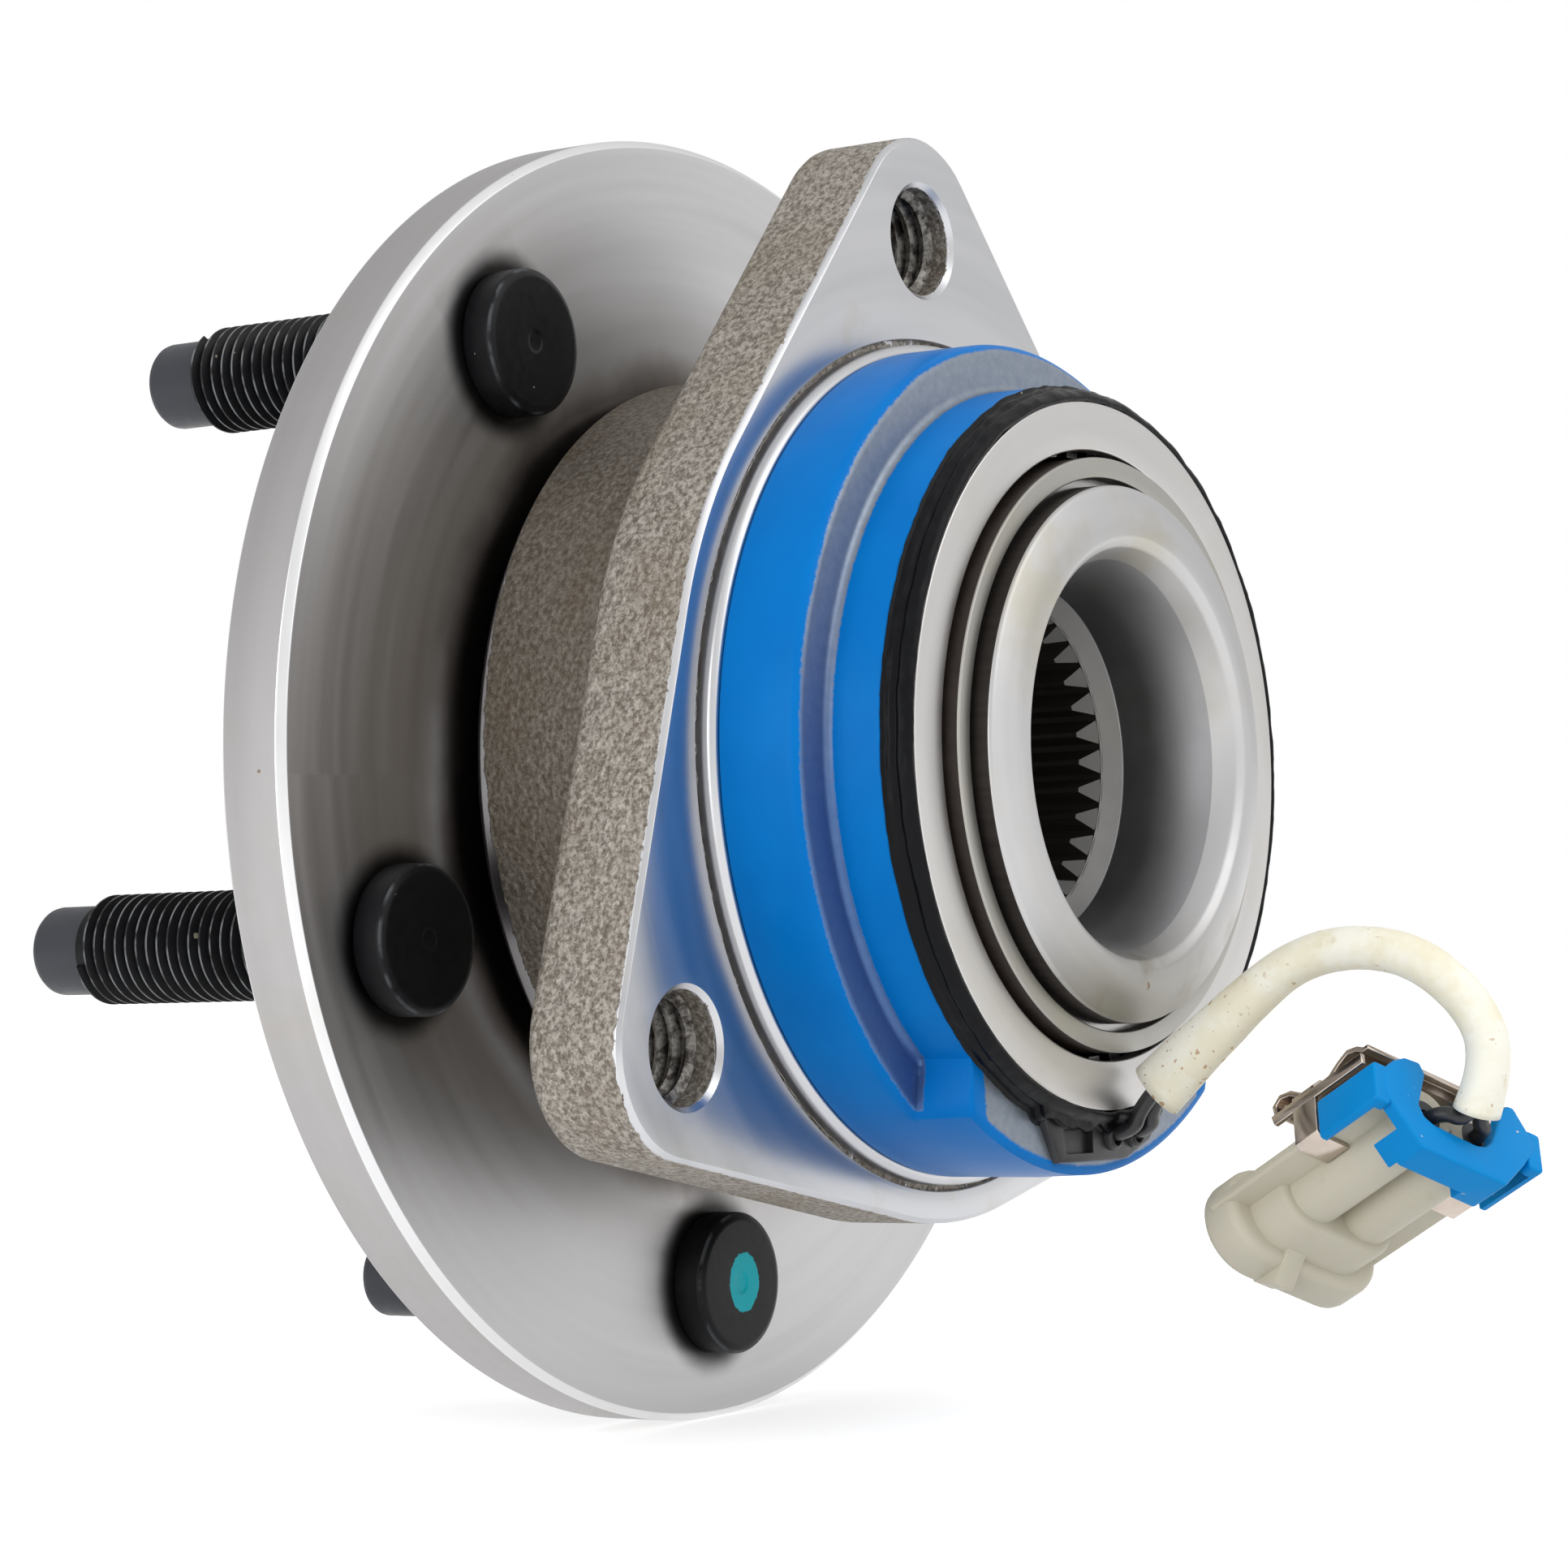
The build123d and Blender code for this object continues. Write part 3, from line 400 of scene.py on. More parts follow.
# The teeth of the spline stand on the bore's wall, cut to a cone at the mouth
bm = bmesh.new()
land_half = 0.25 * mm
base_half = math.pi * spline_root_r / spline_count - 0.15 * mm
base_r = spline_root_r + 0.12 * mm
section = [(spline_tip_r, land_half, spline_tip_y), (base_r, base_half, spline_root_y - 0.2 * mm),
           (base_r, -base_half, spline_root_y - 0.2 * mm), (spline_tip_r, -land_half, spline_tip_y)]
_, back = extrude_outline(bm, [(r, y, z) for r, z, y in section], (0, 0, 0))
for vert in back:
    vert.co.y = nut_seat_y - 0.3 * mm - (spline_root_r - min(vert.co.x, spline_root_r)) * 0.8
spin_copies(bm, bm.verts[:] + bm.edges[:] + bm.faces[:], spline_count)
spline_teeth = make_piece(bm, "spline_teeth", [spline_dark_and_gap_shade], math.radians(20))
spline_teeth.data.materials.append(cone_steel)
for face in spline_teeth.data.polygons:
    if face.normal.y < -0.3:
        face.material_index = 1


def stud_place(index):
    """The turn that takes a stud from the X axis to its place."""
    return Matrix.Rotation(-stud_start_angle - index * sector, 4, "Y")


cutters = []
for index in range(stud_count):
    bm = bmesh.new()
    hole = [(0, flange_face_y - 3 * mm), (knurl_r - 0.02 * mm, flange_face_y - 3 * mm),
            (knurl_r - 0.02 * mm, wheel_face_y - 0.5 * mm), (knurl_r + 1.2 * mm, wheel_face_y + 0.7 * mm),
            (0, wheel_face_y + 0.7 * mm)]
    turn_outline(bm, hole, 64, (stud_circle_r, 0, 0))
    bmesh.ops.transform(bm, matrix=stud_place(index), verts=bm.verts)
    cutters.append(make_piece(bm, "stud_hole", []))
cut_piece(hub_forging, cutters)

nose_zone_y = -15.0 * mm
bore_zone_y = -10.3 * mm
rim_zone_r = 71.0 * mm
for face in hub_forging.data.polygons:
    r = math.hypot(face.center.x, face.center.z)
    y = face.center.y
    on_wall = abs(face.normal.y) < 0.2
    slanted = 0.2 < abs(face.normal.y) < 0.9
    face_finish = flange_steel
    # The nose's outer wall beside the tone ring takes the dark finish as painted shade in the gap
    if y < nose_zone_y and on_wall and r > nose_r - 0.3 * mm:
        face_finish = spline_dark_and_gap_shade
    elif y < nose_zone_y and r > 21.0 * mm:
        face_finish = nose_steel
    elif y < bore_zone_y and r < flare_end_r - 0.4 * mm:
        face_finish = cone_steel
    elif y < bore_zone_y and r < 23.0 * mm:
        face_finish = bore_steel
    elif r < spline_root_r + 0.1 * mm:
        face_finish = spline_dark_and_gap_shade
    elif r > rim_zone_r and slanted:
        face_finish = bright_steel
    elif r > rim_zone_r and on_wall:
        face_finish = rim_steel
    elif y > wheel_face_y - 2.0 * mm and r < 40.0 * mm:
        face_finish = bore_steel
    face.material_index = hub_finishes.index(face_finish)
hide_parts("hub_spindle")
for piece in (hub_forging, spline_teeth):
    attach(piece, "hub")


# Wheel studs: five headed studs with a rolled M12 thread and a plain pilot point, pressed in from
# inboard. They are forged steel with a black oxide finish, worn bright on the thread crests, and a
# teal inspection mark is painted on the lowest head.

head_r = 8.0 * mm
head_back_y = 28.8 * mm
thread_r = 6.0 * mm
thread_core_r = 5.1 * mm
thread_pitch = 1.5 * mm
thread_start_y = 42.5 * mm
thread_end_y = 74.0 * mm
thread_steps = 60
point_r = 4.85 * mm
point_end_y = 81.0 * mm
marked_stud = 3
mark_half_x = 2.9
mark_half_z = 3.4

stud_black, shader, place = start_material("stud_black", Metallic=0.1, Specular_IOR_Level=0.2)
at = use(about_axis, Place=place)
near_stud = use(stud_reach, Radius=at["Radius"], Angle=at["Angle"])["Distance"]
grime = place.cloud(900.0, 4.0, 0.6)
patchy = place.cloud(420.0).ease(0.38, 0.6)
on_point = at["Height"].ease(thread_end_y / mm - 0.2, thread_end_y / mm + 0.2)
crest = (near_stud > thread_r / mm - 0.05) * (at["Height"] > wheel_face_y / mm)
on_rim = near_stud.ease(head_r / mm - 0.5, head_r / mm - 0.2)
rim_wear = on_rim * patchy * (at["Height"] < head_back_y / mm + 0.5)
lint = use(flecks, Place=place, Cells_per_m=420.0, Share=0.1, Size=0.17)["Mask"]
oxide = grime.blend(colour(5, 5, 7), colour(20, 21, 24))
oxide = (on_point * 0.75).blend(oxide, colour(72, 74, 80))
oxide = (crest * (patchy * 0.5 + 0.05)).blend(oxide, colour(150, 152, 154))
oxide = (rim_wear * 0.3).blend(oxide, colour(120, 124, 128))
oxide = (lint * 0.7).blend(oxide, colour(156, 150, 132))
mark_angle = stud_start_angle + marked_stud * sector
mark_x = stud_circle_r / mm * math.cos(mark_angle) + 0.5
mark_z = stud_circle_r / mm * math.sin(mark_angle)
across, _, up = place.split()
across_mark = (across * 1000.0 - mark_x).math("DIVIDE", mark_half_x)
up_mark = (up * 1000.0 - mark_z).math("DIVIDE", mark_half_z)
ragged = place.cloud(800.0, 4.0, 0.7) * 0.3 + across_mark.beside(up_mark).length()
mark = ragged.ease(1.12, 1.16, 1.0, 0.0) * (at["Height"] < head_back_y / mm + 0.2)
head_lines = use(tool_lines, Feed=near_stud, Angle=at["Angle"], Lines_per_mm=2.5)["Height"]
finish(shader, mark.blend(oxide, colour(0, 190, 204)), head_lines * 0.6 + grime * 0.5, 0.5, 0.03 * mm,
       Roughness=lint * 0.3 + (grime * 0.3 + 0.28))


def wind_thread(bm, ridge, axis_x, start_y, pitch, turns):
    """Wind a ridge of (radius, share of the pitch) round an axis along Y, as a right-hand thread."""
    section = [bm.verts.new((axis_x + r, start_y + share * pitch, 0)) for r, share in ridge]
    ridge_face = bm.faces.new(section)
    bmesh.ops.spin(bm, geom=section + list(ridge_face.edges) + [ridge_face], cent=(axis_x, 0, 0),
                   axis=(0, 1, 0), dvec=(0, pitch / thread_steps, 0), angle=2 * math.pi * turns,
                   steps=round(thread_steps * turns), use_merge=False, use_duplicate=False)


bm = bmesh.new()
axis_at = (stud_circle_r, 0, 0)
turn_outline(bm, [
    (0, head_back_y + 0.18 * mm), (1.0 * mm, head_back_y + 0.16 * mm, 0.15 * mm),
    (1.3 * mm, head_back_y, 0.2 * mm), (head_r - 0.9 * mm, head_back_y, 0.2 * mm),
    (head_r, head_back_y + 0.42 * mm, 0.35 * mm), (head_r, flange_face_y - 0.3 * mm, 0.15 * mm),
    (head_r - 0.3 * mm, flange_face_y), (knurl_r - 0.05 * mm, flange_face_y),
    (knurl_r - 0.05 * mm, wheel_face_y - 0.6 * mm, 0.2 * mm), (thread_r, wheel_face_y - 0.1 * mm),
    (thread_r, thread_start_y - 0.3 * mm), (thread_core_r, thread_start_y + 0.3 * mm),
    (thread_core_r, thread_end_y - 0.1 * mm), (point_r, thread_end_y),
    (point_r, point_end_y, 1.15 * mm), (0, point_end_y)], 72, axis_at)
ridge = [(thread_core_r - 0.1 * mm, 0.02), (thread_r - 0.02 * mm, 0.43), (thread_r - 0.02 * mm, 0.57),
         (thread_core_r - 0.1 * mm, 0.98)]
before = set(bm.verts)
wind_thread(bm, ridge, stud_circle_r, thread_start_y, thread_pitch, 20)
for vert in bm.verts:
    offset = vert.co - Vector((stud_circle_r, vert.co.y, 0))
    if vert not in before and offset.length > thread_core_r:
        allowed = min(thread_r, thread_core_r + max(0.0, thread_end_y - vert.co.y) * 1.2)
        vert.co = vert.co - offset + offset * min(1.0, allowed / offset.length)
stud_geom = bm.verts[:] + bm.edges[:] + bm.faces[:]
bmesh.ops.transform(bm, matrix=stud_place(0), verts=bm.verts)
spin_copies(bm, stud_geom, stud_count, (0, -1, 0))
studs = make_piece(bm, "studs", [stud_black])
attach(studs, "hub")
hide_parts("wheel_studs")


# Rolling elements and their cages: two rows of 14 chrome steel balls in moulded nylon snap cages.
# They are shut away between the rings, and only show when the bearing is taken apart.

def plain_finish(name, tone, shade, metallic, roughness, scale, bump):
    """A finish for a plain or hidden piece: a mottled colour with its own grain."""
    material, shader, place = start_material(name, Metallic=metallic)
    mottle = place.cloud(scale, 4.0, 0.6)
    finish(shader, mottle.blend(colour(*shade), colour(*tone)), mottle, 0.3, bump,
           Roughness=mottle * 0.2 + (roughness - 0.1))
    return material


def dress(node, material):
    """Give a CAD node that keeps its shape a better material."""
    slots = nodes[node].material_slots
    for place_in in slots:
        place_in.material = material
    if not slots:
        nodes[node].data.materials.append(material)


ball_steel = plain_finish("ball_steel", (226, 227, 230), (210, 211, 214), 1.0, 0.12, 60.0, 0.002 * mm)
race_steel = plain_finish("race_steel", (190, 189, 188), (160, 158, 156), 1.0, 0.28, 400.0, 0.01 * mm)
cage_nylon = plain_finish("cage_nylon", (196, 150, 92), (180, 134, 78), 0.0, 0.5, 500.0, 0.01 * mm)
for node, material in (("balls_inboard", ball_steel), ("balls_outboard", ball_steel),
                       ("cage_inboard", cage_nylon), ("cage_outboard", cage_nylon),
                       ("inner_ring", race_steel)):
    dress(node, material)


# Outer ring: knuckle flange with three tapped ears, barrel and both outer races in one forging. The
# forged skin is shot blasted and dull brown-grey, and the face, its chamfer, the pilot beside the
# drum and the barrel's outboard end are machined bright, with a ragged edge where the skin starts.

ear_count = 3
ear_centre_r = 58.0 * mm
ear_r = 11.5 * mm
disc_r = 50.4 * mm
mount_thickness = 12.0 * mm
face_chamfer = 0.5 * mm
hole_r = 6.0 * mm
hole_mouth_r = 6.55 * mm
tap_pitch = 1.75 * mm
tap_crest_r = 5.15 * mm
barrel_r = 44.8 * mm
barrel_end_y = 30.5 * mm
ring_pilot_r = 46.2 * mm
relief_r = 46.9 * mm
spigot_r = 44.48 * mm
race_bore_r = 40.1 * mm
seal_bore_r = 41.0 * mm


def ear_outline_r(angle):
    """How far the flange reaches at an angle: three ears, tangent sides and the disc between."""
    step = 2 * math.pi / ear_count
    off = abs((angle - math.pi / 2 + step / 2) % step - step / 2)
    side = math.acos((disc_r - ear_r) / ear_centre_r)
    tangent = math.atan2(ear_r * math.sin(side), ear_centre_r + ear_r * math.cos(side))
    if off < tangent:
        return ear_centre_r * math.cos(off) + math.sqrt(ear_r**2 - (ear_centre_r * math.sin(off)) ** 2)
    return disc_r / math.cos(max(side - off, 0.0))


# Shot-blasted skin and machined surfaces of the ring, in one material so that their border is ragged
ring_steel, shader, place = start_material("ring_steel", Anisotropic=0.35)
at = use(about_axis, Place=place)
edge_noise = place.cloud(620.0, 3.0, 0.7)
skin_low = (edge_noise * -1.2 + at["Height"]).ease(0.0, 0.1)
skin_high = place.split()[2] * -28.0 + (edge_noise * 1.4 + at["Height"])
skin = skin_low * skin_high.ease(29.3, 29.42, 1.0, 0.0) * (at["Radius"] > 42.5)
grit = place.cloud(1500.0, 3.0, 0.75)
dents = Field(place.node("ShaderNodeTexVoronoi", {"Vector": place, "Scale": 1250.0}).outputs["Distance"])
mottle = place.cloud(60.0, 4.0, 0.6).ease(0.42, 0.7, 0.0, 0.35)
glint = place.cloud(2300.0, 2.0, 0.8).ease(0.6, 0.7)
in_shade = at["Height"].ease(mount_thickness / mm - 1.2, mount_thickness / mm + 0.5)
blasted = grit.ease(0.34, 0.68).blend(colour(108, 100, 90), colour(182, 176, 167))
blasted = mottle.blend(blasted, colour(118, 102, 80))
blasted = (glint * 0.5).blend(blasted, colour(204, 198, 190))
blasted = (in_shade * 0.6).blend(blasted, colour(78, 68, 55))
faced = use(tool_lines, Feed=at["Radius"], Angle=at["Angle"], Lines_per_mm=2.2)
smear = place.cloud(90.0, 4.0, 0.6).ease(0.56, 0.75)
rust = use(flecks, Place=place, Cells_per_m=300.0, Share=0.06, Size=0.15)["Mask"]
machined = faced["Tone"].blend(colour(182, 183, 186), colour(206, 206, 208))
machined = (smear * 0.25).blend(machined, colour(168, 158, 128))
machined = (rust * 0.6).blend(machined, colour(140, 112, 82))
follow_turning(shader, place)
finish(shader, skin.blend(machined, blasted), (grit + dents) * skin + faced["Height"] * 0.05, 0.9, 0.16 * mm,
       Metallic=skin.ease(0.0, 1.0, 1.0, 0.55), Roughness=skin.lean(faced["Tone"] * 0.1 + 0.26, 0.62))

bm = bmesh.new()
inboard_arc = arc_points(ball_pitch_r, -3.0 * mm, race_r, 0, 61)
outboard_arc = arc_points(ball_pitch_r, outboard_row_y, race_r, -61, 0)
turn_outline(bm, [
    (race_bore_r, -9.5 * mm), (spigot_r, -9.5 * mm), (spigot_r, -1.7 * mm),
    (45.6 * mm, -1.7 * mm, 0.25 * mm), (ring_pilot_r, -1.1 * mm, 0.25 * mm), (ring_pilot_r, 0.8 * mm),
    (relief_r, 0.8 * mm), (relief_r, 0.0, 0.12 * mm), (disc_r - face_chamfer, 0.0, 0.08 * mm),
    (disc_r, face_chamfer, 0.08 * mm), (disc_r, mount_thickness, 1.8 * mm),
    (barrel_r, mount_thickness, 1.2 * mm), (barrel_r, barrel_end_y - 1.1 * mm, 0.15 * mm),
    (barrel_r - 1.0 * mm, barrel_end_y, 0.12 * mm), (seal_bore_r + 0.5 * mm, barrel_end_y, 0.1 * mm),
    (seal_bore_r, barrel_end_y - 0.5 * mm), (seal_bore_r, 24.6 * mm), (race_bore_r, 24.6 * mm),
    *reversed(outboard_arc), *reversed(inboard_arc)])
for vert in bm.verts:
    r = math.hypot(vert.co.x, vert.co.z)
    if r > 48 * mm and vert.co.y < mount_thickness + 0.1 * mm:
        push = ear_outline_r(math.atan2(vert.co.z, vert.co.x)) - disc_r
        vert.co.x *= (r + push) / r
        vert.co.z *= (r + push) / r
outer_forging = make_piece(bm, "outer_forging", [ring_steel])
cutters = []
for index in range(ear_count):
    bm = bmesh.new()
    turn_outline(bm, [(0, -1 * mm), (hole_mouth_r + 1 * mm, -1 * mm), (hole_mouth_r, 0),
                      (hole_r, hole_mouth_r - hole_r), (hole_r, mount_thickness - 0.4 * mm),
                      (hole_r + 1 * mm, mount_thickness + 0.6 * mm), (0, mount_thickness + 0.6 * mm)],
                 96, (ear_centre_r, 0, 0))
    turned = Matrix.Rotation(-math.pi / 2 - index * 2 * math.pi / ear_count, 4, "Y")
    bmesh.ops.transform(bm, matrix=turned, verts=bm.verts)
    cutters.append(make_piece(bm, "ear_hole", []))
cut_piece(outer_forging, cutters)
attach(outer_forging, "outer")
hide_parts("outer_ring")

# Tapped thread of the ears: a ridge wound round each hole, dark with cutting oil between its crests
tapped_steel, shader, place = start_material("tapped_steel", Metallic=0.9)
grime = place.cloud(700.0, 4.0, 0.7)
finish(shader, grime.ease(0.35, 0.7).blend(colour(40, 36, 33), colour(140, 137, 132)), grime, 0.6, 0.05 * mm,
       Roughness=grime * 0.3 + 0.25)
bm = bmesh.new()
tap_start = 2.0 * mm
tap_turns = (mount_thickness - tap_start) / tap_pitch - 1.3
ridge = [(hole_r + 0.1 * mm, 0.0), (tap_crest_r, 0.40), (tap_crest_r, 0.58), (hole_r + 0.1 * mm, 0.98)]
wind_thread(bm, ridge, ear_centre_r, tap_start, tap_pitch, tap_turns)
bmesh.ops.transform(bm, matrix=Matrix.Rotation(-math.pi / 2, 4, "Y"), verts=bm.verts)
spin_copies(bm, bm.verts[:] + bm.edges[:] + bm.faces[:], ear_count)
ear_threads = make_piece(bm, "ear_threads", [tapped_steel])
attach(ear_threads, "outer")


# Outboard seal: a pressed steel case with bonded rubber lips, and the slinger that runs against it.
# It closes the gap between the barrel and the wheel flange, and its edge just shows in that gap.

seal_case_steel = plain_finish("seal_case_steel", (120, 118, 116), (86, 84, 82), 1.0, 0.35, 500.0, 0.01 * mm)
lip_rubber = plain_finish("lip_rubber", (30, 30, 31), (18, 18, 19), 0.0, 0.55, 900.0, 0.02 * mm)
slinger_steel = plain_finish("slinger_steel", (150, 149, 148), (120, 118, 116), 1.0, 0.3, 500.0, 0.01 * mm)
dress("outboard_seal_case", seal_case_steel)
dress("outboard_seal_lip", lip_rubber)
dress("outboard_slinger", slinger_steel)


# Sensor cap: a drum drawn from steel sheet and pressed over the ring's spigot, with a bulge at the
# bottom for the terminal block. It is sprayed blue, and masked, so the step and the bulge's end
# face are bare grey with fuzzy borders where the spray stops.

cap_r = 45.3 * mm
cap_back_y = -1.72 * mm
cap_step_y = -11.3 * mm
cap_small_r = 40.0 * mm
cap_end_y = -17.8 * mm
cap_wall = 0.8 * mm
cap_lip_r = 39.62 * mm
cap_lip_inner_r = 39.2 * mm
bulge_half_angle = math.radians(33.6)
bulge_side_angle = math.radians(4.8)
cap_steps = 480


def bulge_share(x, z):
    """One within the bulge's angles, none outside, and a smooth wall between."""
    off = abs(math.atan2(x, -z))
    share = min(max((bulge_half_angle + bulge_side_angle - off) / bulge_side_angle, 0.0), 1.0)
    return share * share * (3 - 2 * share)


blue_paint, shader, place = start_material("blue_paint", Specular_IOR_Level=0.07)
at = use(about_axis, Place=place)
across, _, up = place.split()
fuzz = place.cloud(1900.0, 3.0, 0.8)
drift = place.cloud(110.0)
fuzzy_r = drift * 0.5 + (at["Radius"] + (fuzz * 0.6 - 0.3))
fuzzy_y = at["Height"] + (fuzz * 0.5 - 0.25)
on_step = fuzzy_r.ease(44.7, 45.0, 1.0, 0.0) * (fuzzy_y.ease(-10.6, -10.9) * fuzzy_y.ease(-12.2, -12.0))
bulge_side = across.math("ABSOLUTE") * 1000.0 + (fuzz * 1.6 - 0.8)
on_end = bulge_side.ease(22.2, 22.6, 1.0, 0.0) * fuzzy_r.ease(44.1, 44.5, 1.0, 0.0)
on_end = on_end * (at["Height"] < cap_end_y / mm + 0.12) * (up < 0.0)
bare = on_step.math("MAXIMUM", on_end)
# The bare step turns blue towards the bottom
low_blue_tint = on_step * up.ease(-0.01, 0.03, 0.7, 0.0)
scuffs = use(flecks, Place=place, Cells_per_m=230.0, Share=0.05, Size=0.14)["Mask"]
sheet = place.cloud(800.0, 4.0, 0.7).blend(colour(112, 123, 140), colour(156, 163, 172))
sheet = low_blue_tint.blend(sheet, colour(20, 84, 150))
tone = drift.blend(colour(0, 104, 184), colour(0, 120, 200))
tone = (scuffs * 0.7).blend(tone, colour(150, 190, 220))
finish(shader, bare.blend(tone, sheet), fuzz * 0.25 + place.cloud(420.0, 3.0), 0.35, 0.05 * mm,
       Metallic=bare.ease(0.0, 1.0, 0.0, 0.7), Roughness=bare.ease(0.0, 1.0, 0.36, 0.42))

bm = bmesh.new()
turn_outline(bm, [
    (cap_r, cap_back_y, 0.2 * mm), (cap_r, cap_step_y, 1.3 * mm), (cap_small_r, cap_step_y, 0.9 * mm),
    (cap_small_r, cap_end_y, 0.3 * mm), (cap_lip_r, cap_end_y), (cap_lip_r, cap_end_y + cap_wall),
    (cap_lip_inner_r, cap_end_y + cap_wall), (cap_lip_inner_r, cap_step_y + cap_wall),
    (cap_r - cap_wall, cap_step_y + cap_wall), (cap_r - cap_wall, cap_back_y)], cap_steps)
for vert in bm.verts:
    r = math.hypot(vert.co.x, vert.co.z)
    share = bulge_share(vert.co.x, vert.co.z)
    if share > 0 and r > cap_lip_r + 0.03 * mm and vert.co.y < cap_step_y + 1.4 * mm:
        end = min(max((cap_end_y + 0.7 * mm - vert.co.y) / (0.7 * mm), 0.0), 1.0)
        wall_r = cap_small_r + share * (cap_r - cap_small_r) - 1.3 * mm * share * (1 - math.sqrt(1 - end**2))
        wanted = max(r, wall_r) if r > cap_small_r - 0.01 * mm or end > 0 else r
        vert.co.x *= wanted / r
        vert.co.z *= wanted / r
        vert.co.y -= 0.2 * mm * share * end
drum = make_piece(bm, "drum", [blue_paint])
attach(drum, "outer")
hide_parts("sensor_cap")


# Sensor rings inside the cap's small end: a satin stainless end plate held by black potting, with
# the magnet, wound bobbin and toothed pole ring behind it.

plate_face_y = -20.8 * mm
plate_inner_r = 32.85 * mm
plate_outer_r = 38.15 * mm
plate_back_y = -19.4 * mm
potting_r = 39.6 * mm
potting_back_y = -17.4 * mm

plate_satin = bare_steel("plate_satin", (206, 204, 202), 0.4, 2.5, 0.12)
bm = bmesh.new()
turn_outline(bm, [(plate_inner_r, plate_face_y, 0.25 * mm), (plate_outer_r, plate_face_y, 0.2 * mm),
                  (plate_outer_r, plate_back_y), (plate_inner_r, plate_back_y)])
end_plate = make_piece(bm, "end_plate", [plate_satin])
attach(end_plate, "outer")
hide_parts("sensor_end_plate")

potting_black, shader, place = start_material("potting_black", Specular_IOR_Level=0.12)
lumps = place.cloud(500.0, 4.0, 0.6)
lint = use(flecks, Place=place, Cells_per_m=520.0, Share=0.07, Size=0.15)["Mask"]
tar = lumps.blend(colour(4, 4, 6), colour(18, 19, 22))
finish(shader, (lint * 0.8).blend(tar, colour(150, 146, 134)), lumps, 0.8, 0.12 * mm,
       Roughness=lumps * 0.3 + 0.2)
bm = bmesh.new()
turn_outline(bm, [(plate_outer_r + 0.03 * mm, plate_face_y + 0.1 * mm, 0.05 * mm),
                  (38.6 * mm, plate_face_y - 0.1 * mm, 0.2 * mm),
                  (39.1 * mm, plate_face_y + 0.25 * mm, 0.2 * mm),
                  (potting_r, -19.7 * mm, 0.2 * mm), (potting_r - 0.35 * mm, -19.2 * mm, 0.1 * mm),
                  (potting_r + 0.1 * mm, -18.7 * mm, 0.15 * mm),
                  (potting_r + 0.1 * mm, -18.1 * mm, 0.15 * mm),
                  (40.15 * mm, cap_end_y - 0.05 * mm, 0.1 * mm), (39.5 * mm, cap_end_y + 0.3 * mm),
                  (39.1 * mm, cap_end_y + 0.3 * mm), (39.1 * mm, potting_back_y + 0.5 * mm),
                  (plate_outer_r + 0.03 * mm, potting_back_y + 0.5 * mm)])
for vert in bm.verts:
    if vert.co.y < cap_end_y + 0.1 * mm:
        dent = noise.noise(vert.co * 260) * 0.2 * mm + noise.noise(vert.co * 900) * 0.14 * mm
        if vert.co.z < 0 and abs(vert.co.x) < 13.5 * mm and vert.co.y > -19.8 * mm:
            dent += (0.7 + 0.9 * noise.noise(vert.co * 420)) * mm
        vert.co += Vector((vert.co.x, 0, vert.co.z)).normalized() * dent
potting = make_piece(bm, "potting", [potting_black], math.radians(50))
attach(potting, "outer")
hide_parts("sensor_potting")

dress("sensor_magnet", plain_finish("magnet_black", (48, 48, 50), (30, 30, 32), 0.3, 0.5, 700.0, 0.02 * mm))
dress("sensor_bobbin", plain_finish("bobbin_nylon", (34, 34, 36), (22, 22, 24), 0.0, 0.5, 700.0, 0.02 * mm))
dress("sensor_coil", plain_finish("coil_copper", (190, 110, 62), (150, 82, 44), 1.0, 0.35, 2500.0, 0.05 * mm))
dress("pole_ring", race_steel)


# Tone ring: a toothed sintered ring pressed on the inner ring. Only its grey outer face and the
# brown groove between it and the end plate show.

tone_inner_r = 29.75 * mm
tone_outer_r = 32.0 * mm
tone_face_y = -22.2 * mm
tone_end_y = -10.1 * mm
tone_tooth_count = 47
tone_gap_r = 31.0 * mm
tone_teeth_start_y = -18.0 * mm
tone_teeth_end_y = -11.8 * mm
tone_satin = bare_steel("tone_satin", (172, 170, 164), 0.45, 3.5, 0.3)
groove_brown = plain_finish("groove_brown", (58, 47, 41), (24, 19, 16), 0.3, 0.5, 900.0, 0.02 * mm)
bm = bmesh.new()
turn_outline(bm, [(tone_inner_r, tone_face_y, 0.2 * mm), (tone_outer_r, tone_face_y, 0.25 * mm),
                  (tone_outer_r, tone_teeth_start_y), (tone_gap_r, tone_teeth_start_y),
                  (tone_gap_r, tone_teeth_end_y), (tone_outer_r, tone_teeth_end_y),
                  (tone_outer_r, tone_end_y), (tone_inner_r, tone_end_y)])
tooth_half = math.pi * tone_outer_r / tone_tooth_count / 2
tooth = bmesh.ops.create_cube(bm, size=1.0)["verts"]
bmesh.ops.scale(bm, vec=(1.05 * mm, 6.3 * mm, 2 * tooth_half), verts=tooth)
bmesh.ops.translate(bm, vec=(31.45 * mm, -14.9 * mm, 0), verts=tooth)
tooth_edges = list({e for v in tooth for e in v.link_edges})
tooth_faces = list({f for v in tooth for f in v.link_faces})
spin_copies(bm, tooth + tooth_edges + tooth_faces, tone_tooth_count)
tone_wheel = make_piece(bm, "tone_wheel", [tone_satin, groove_brown])
for face in tone_wheel.data.polygons:
    if face.center.y > tone_face_y + 0.3 * mm:
        face.material_index = 1
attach(tone_wheel, "hub")
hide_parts("tone_ring")


# Terminal block: a black nylon moulding in the window of the bulge, sealed round with potting. It
# has a square well on the left and two boots on the right that the wires leave through.

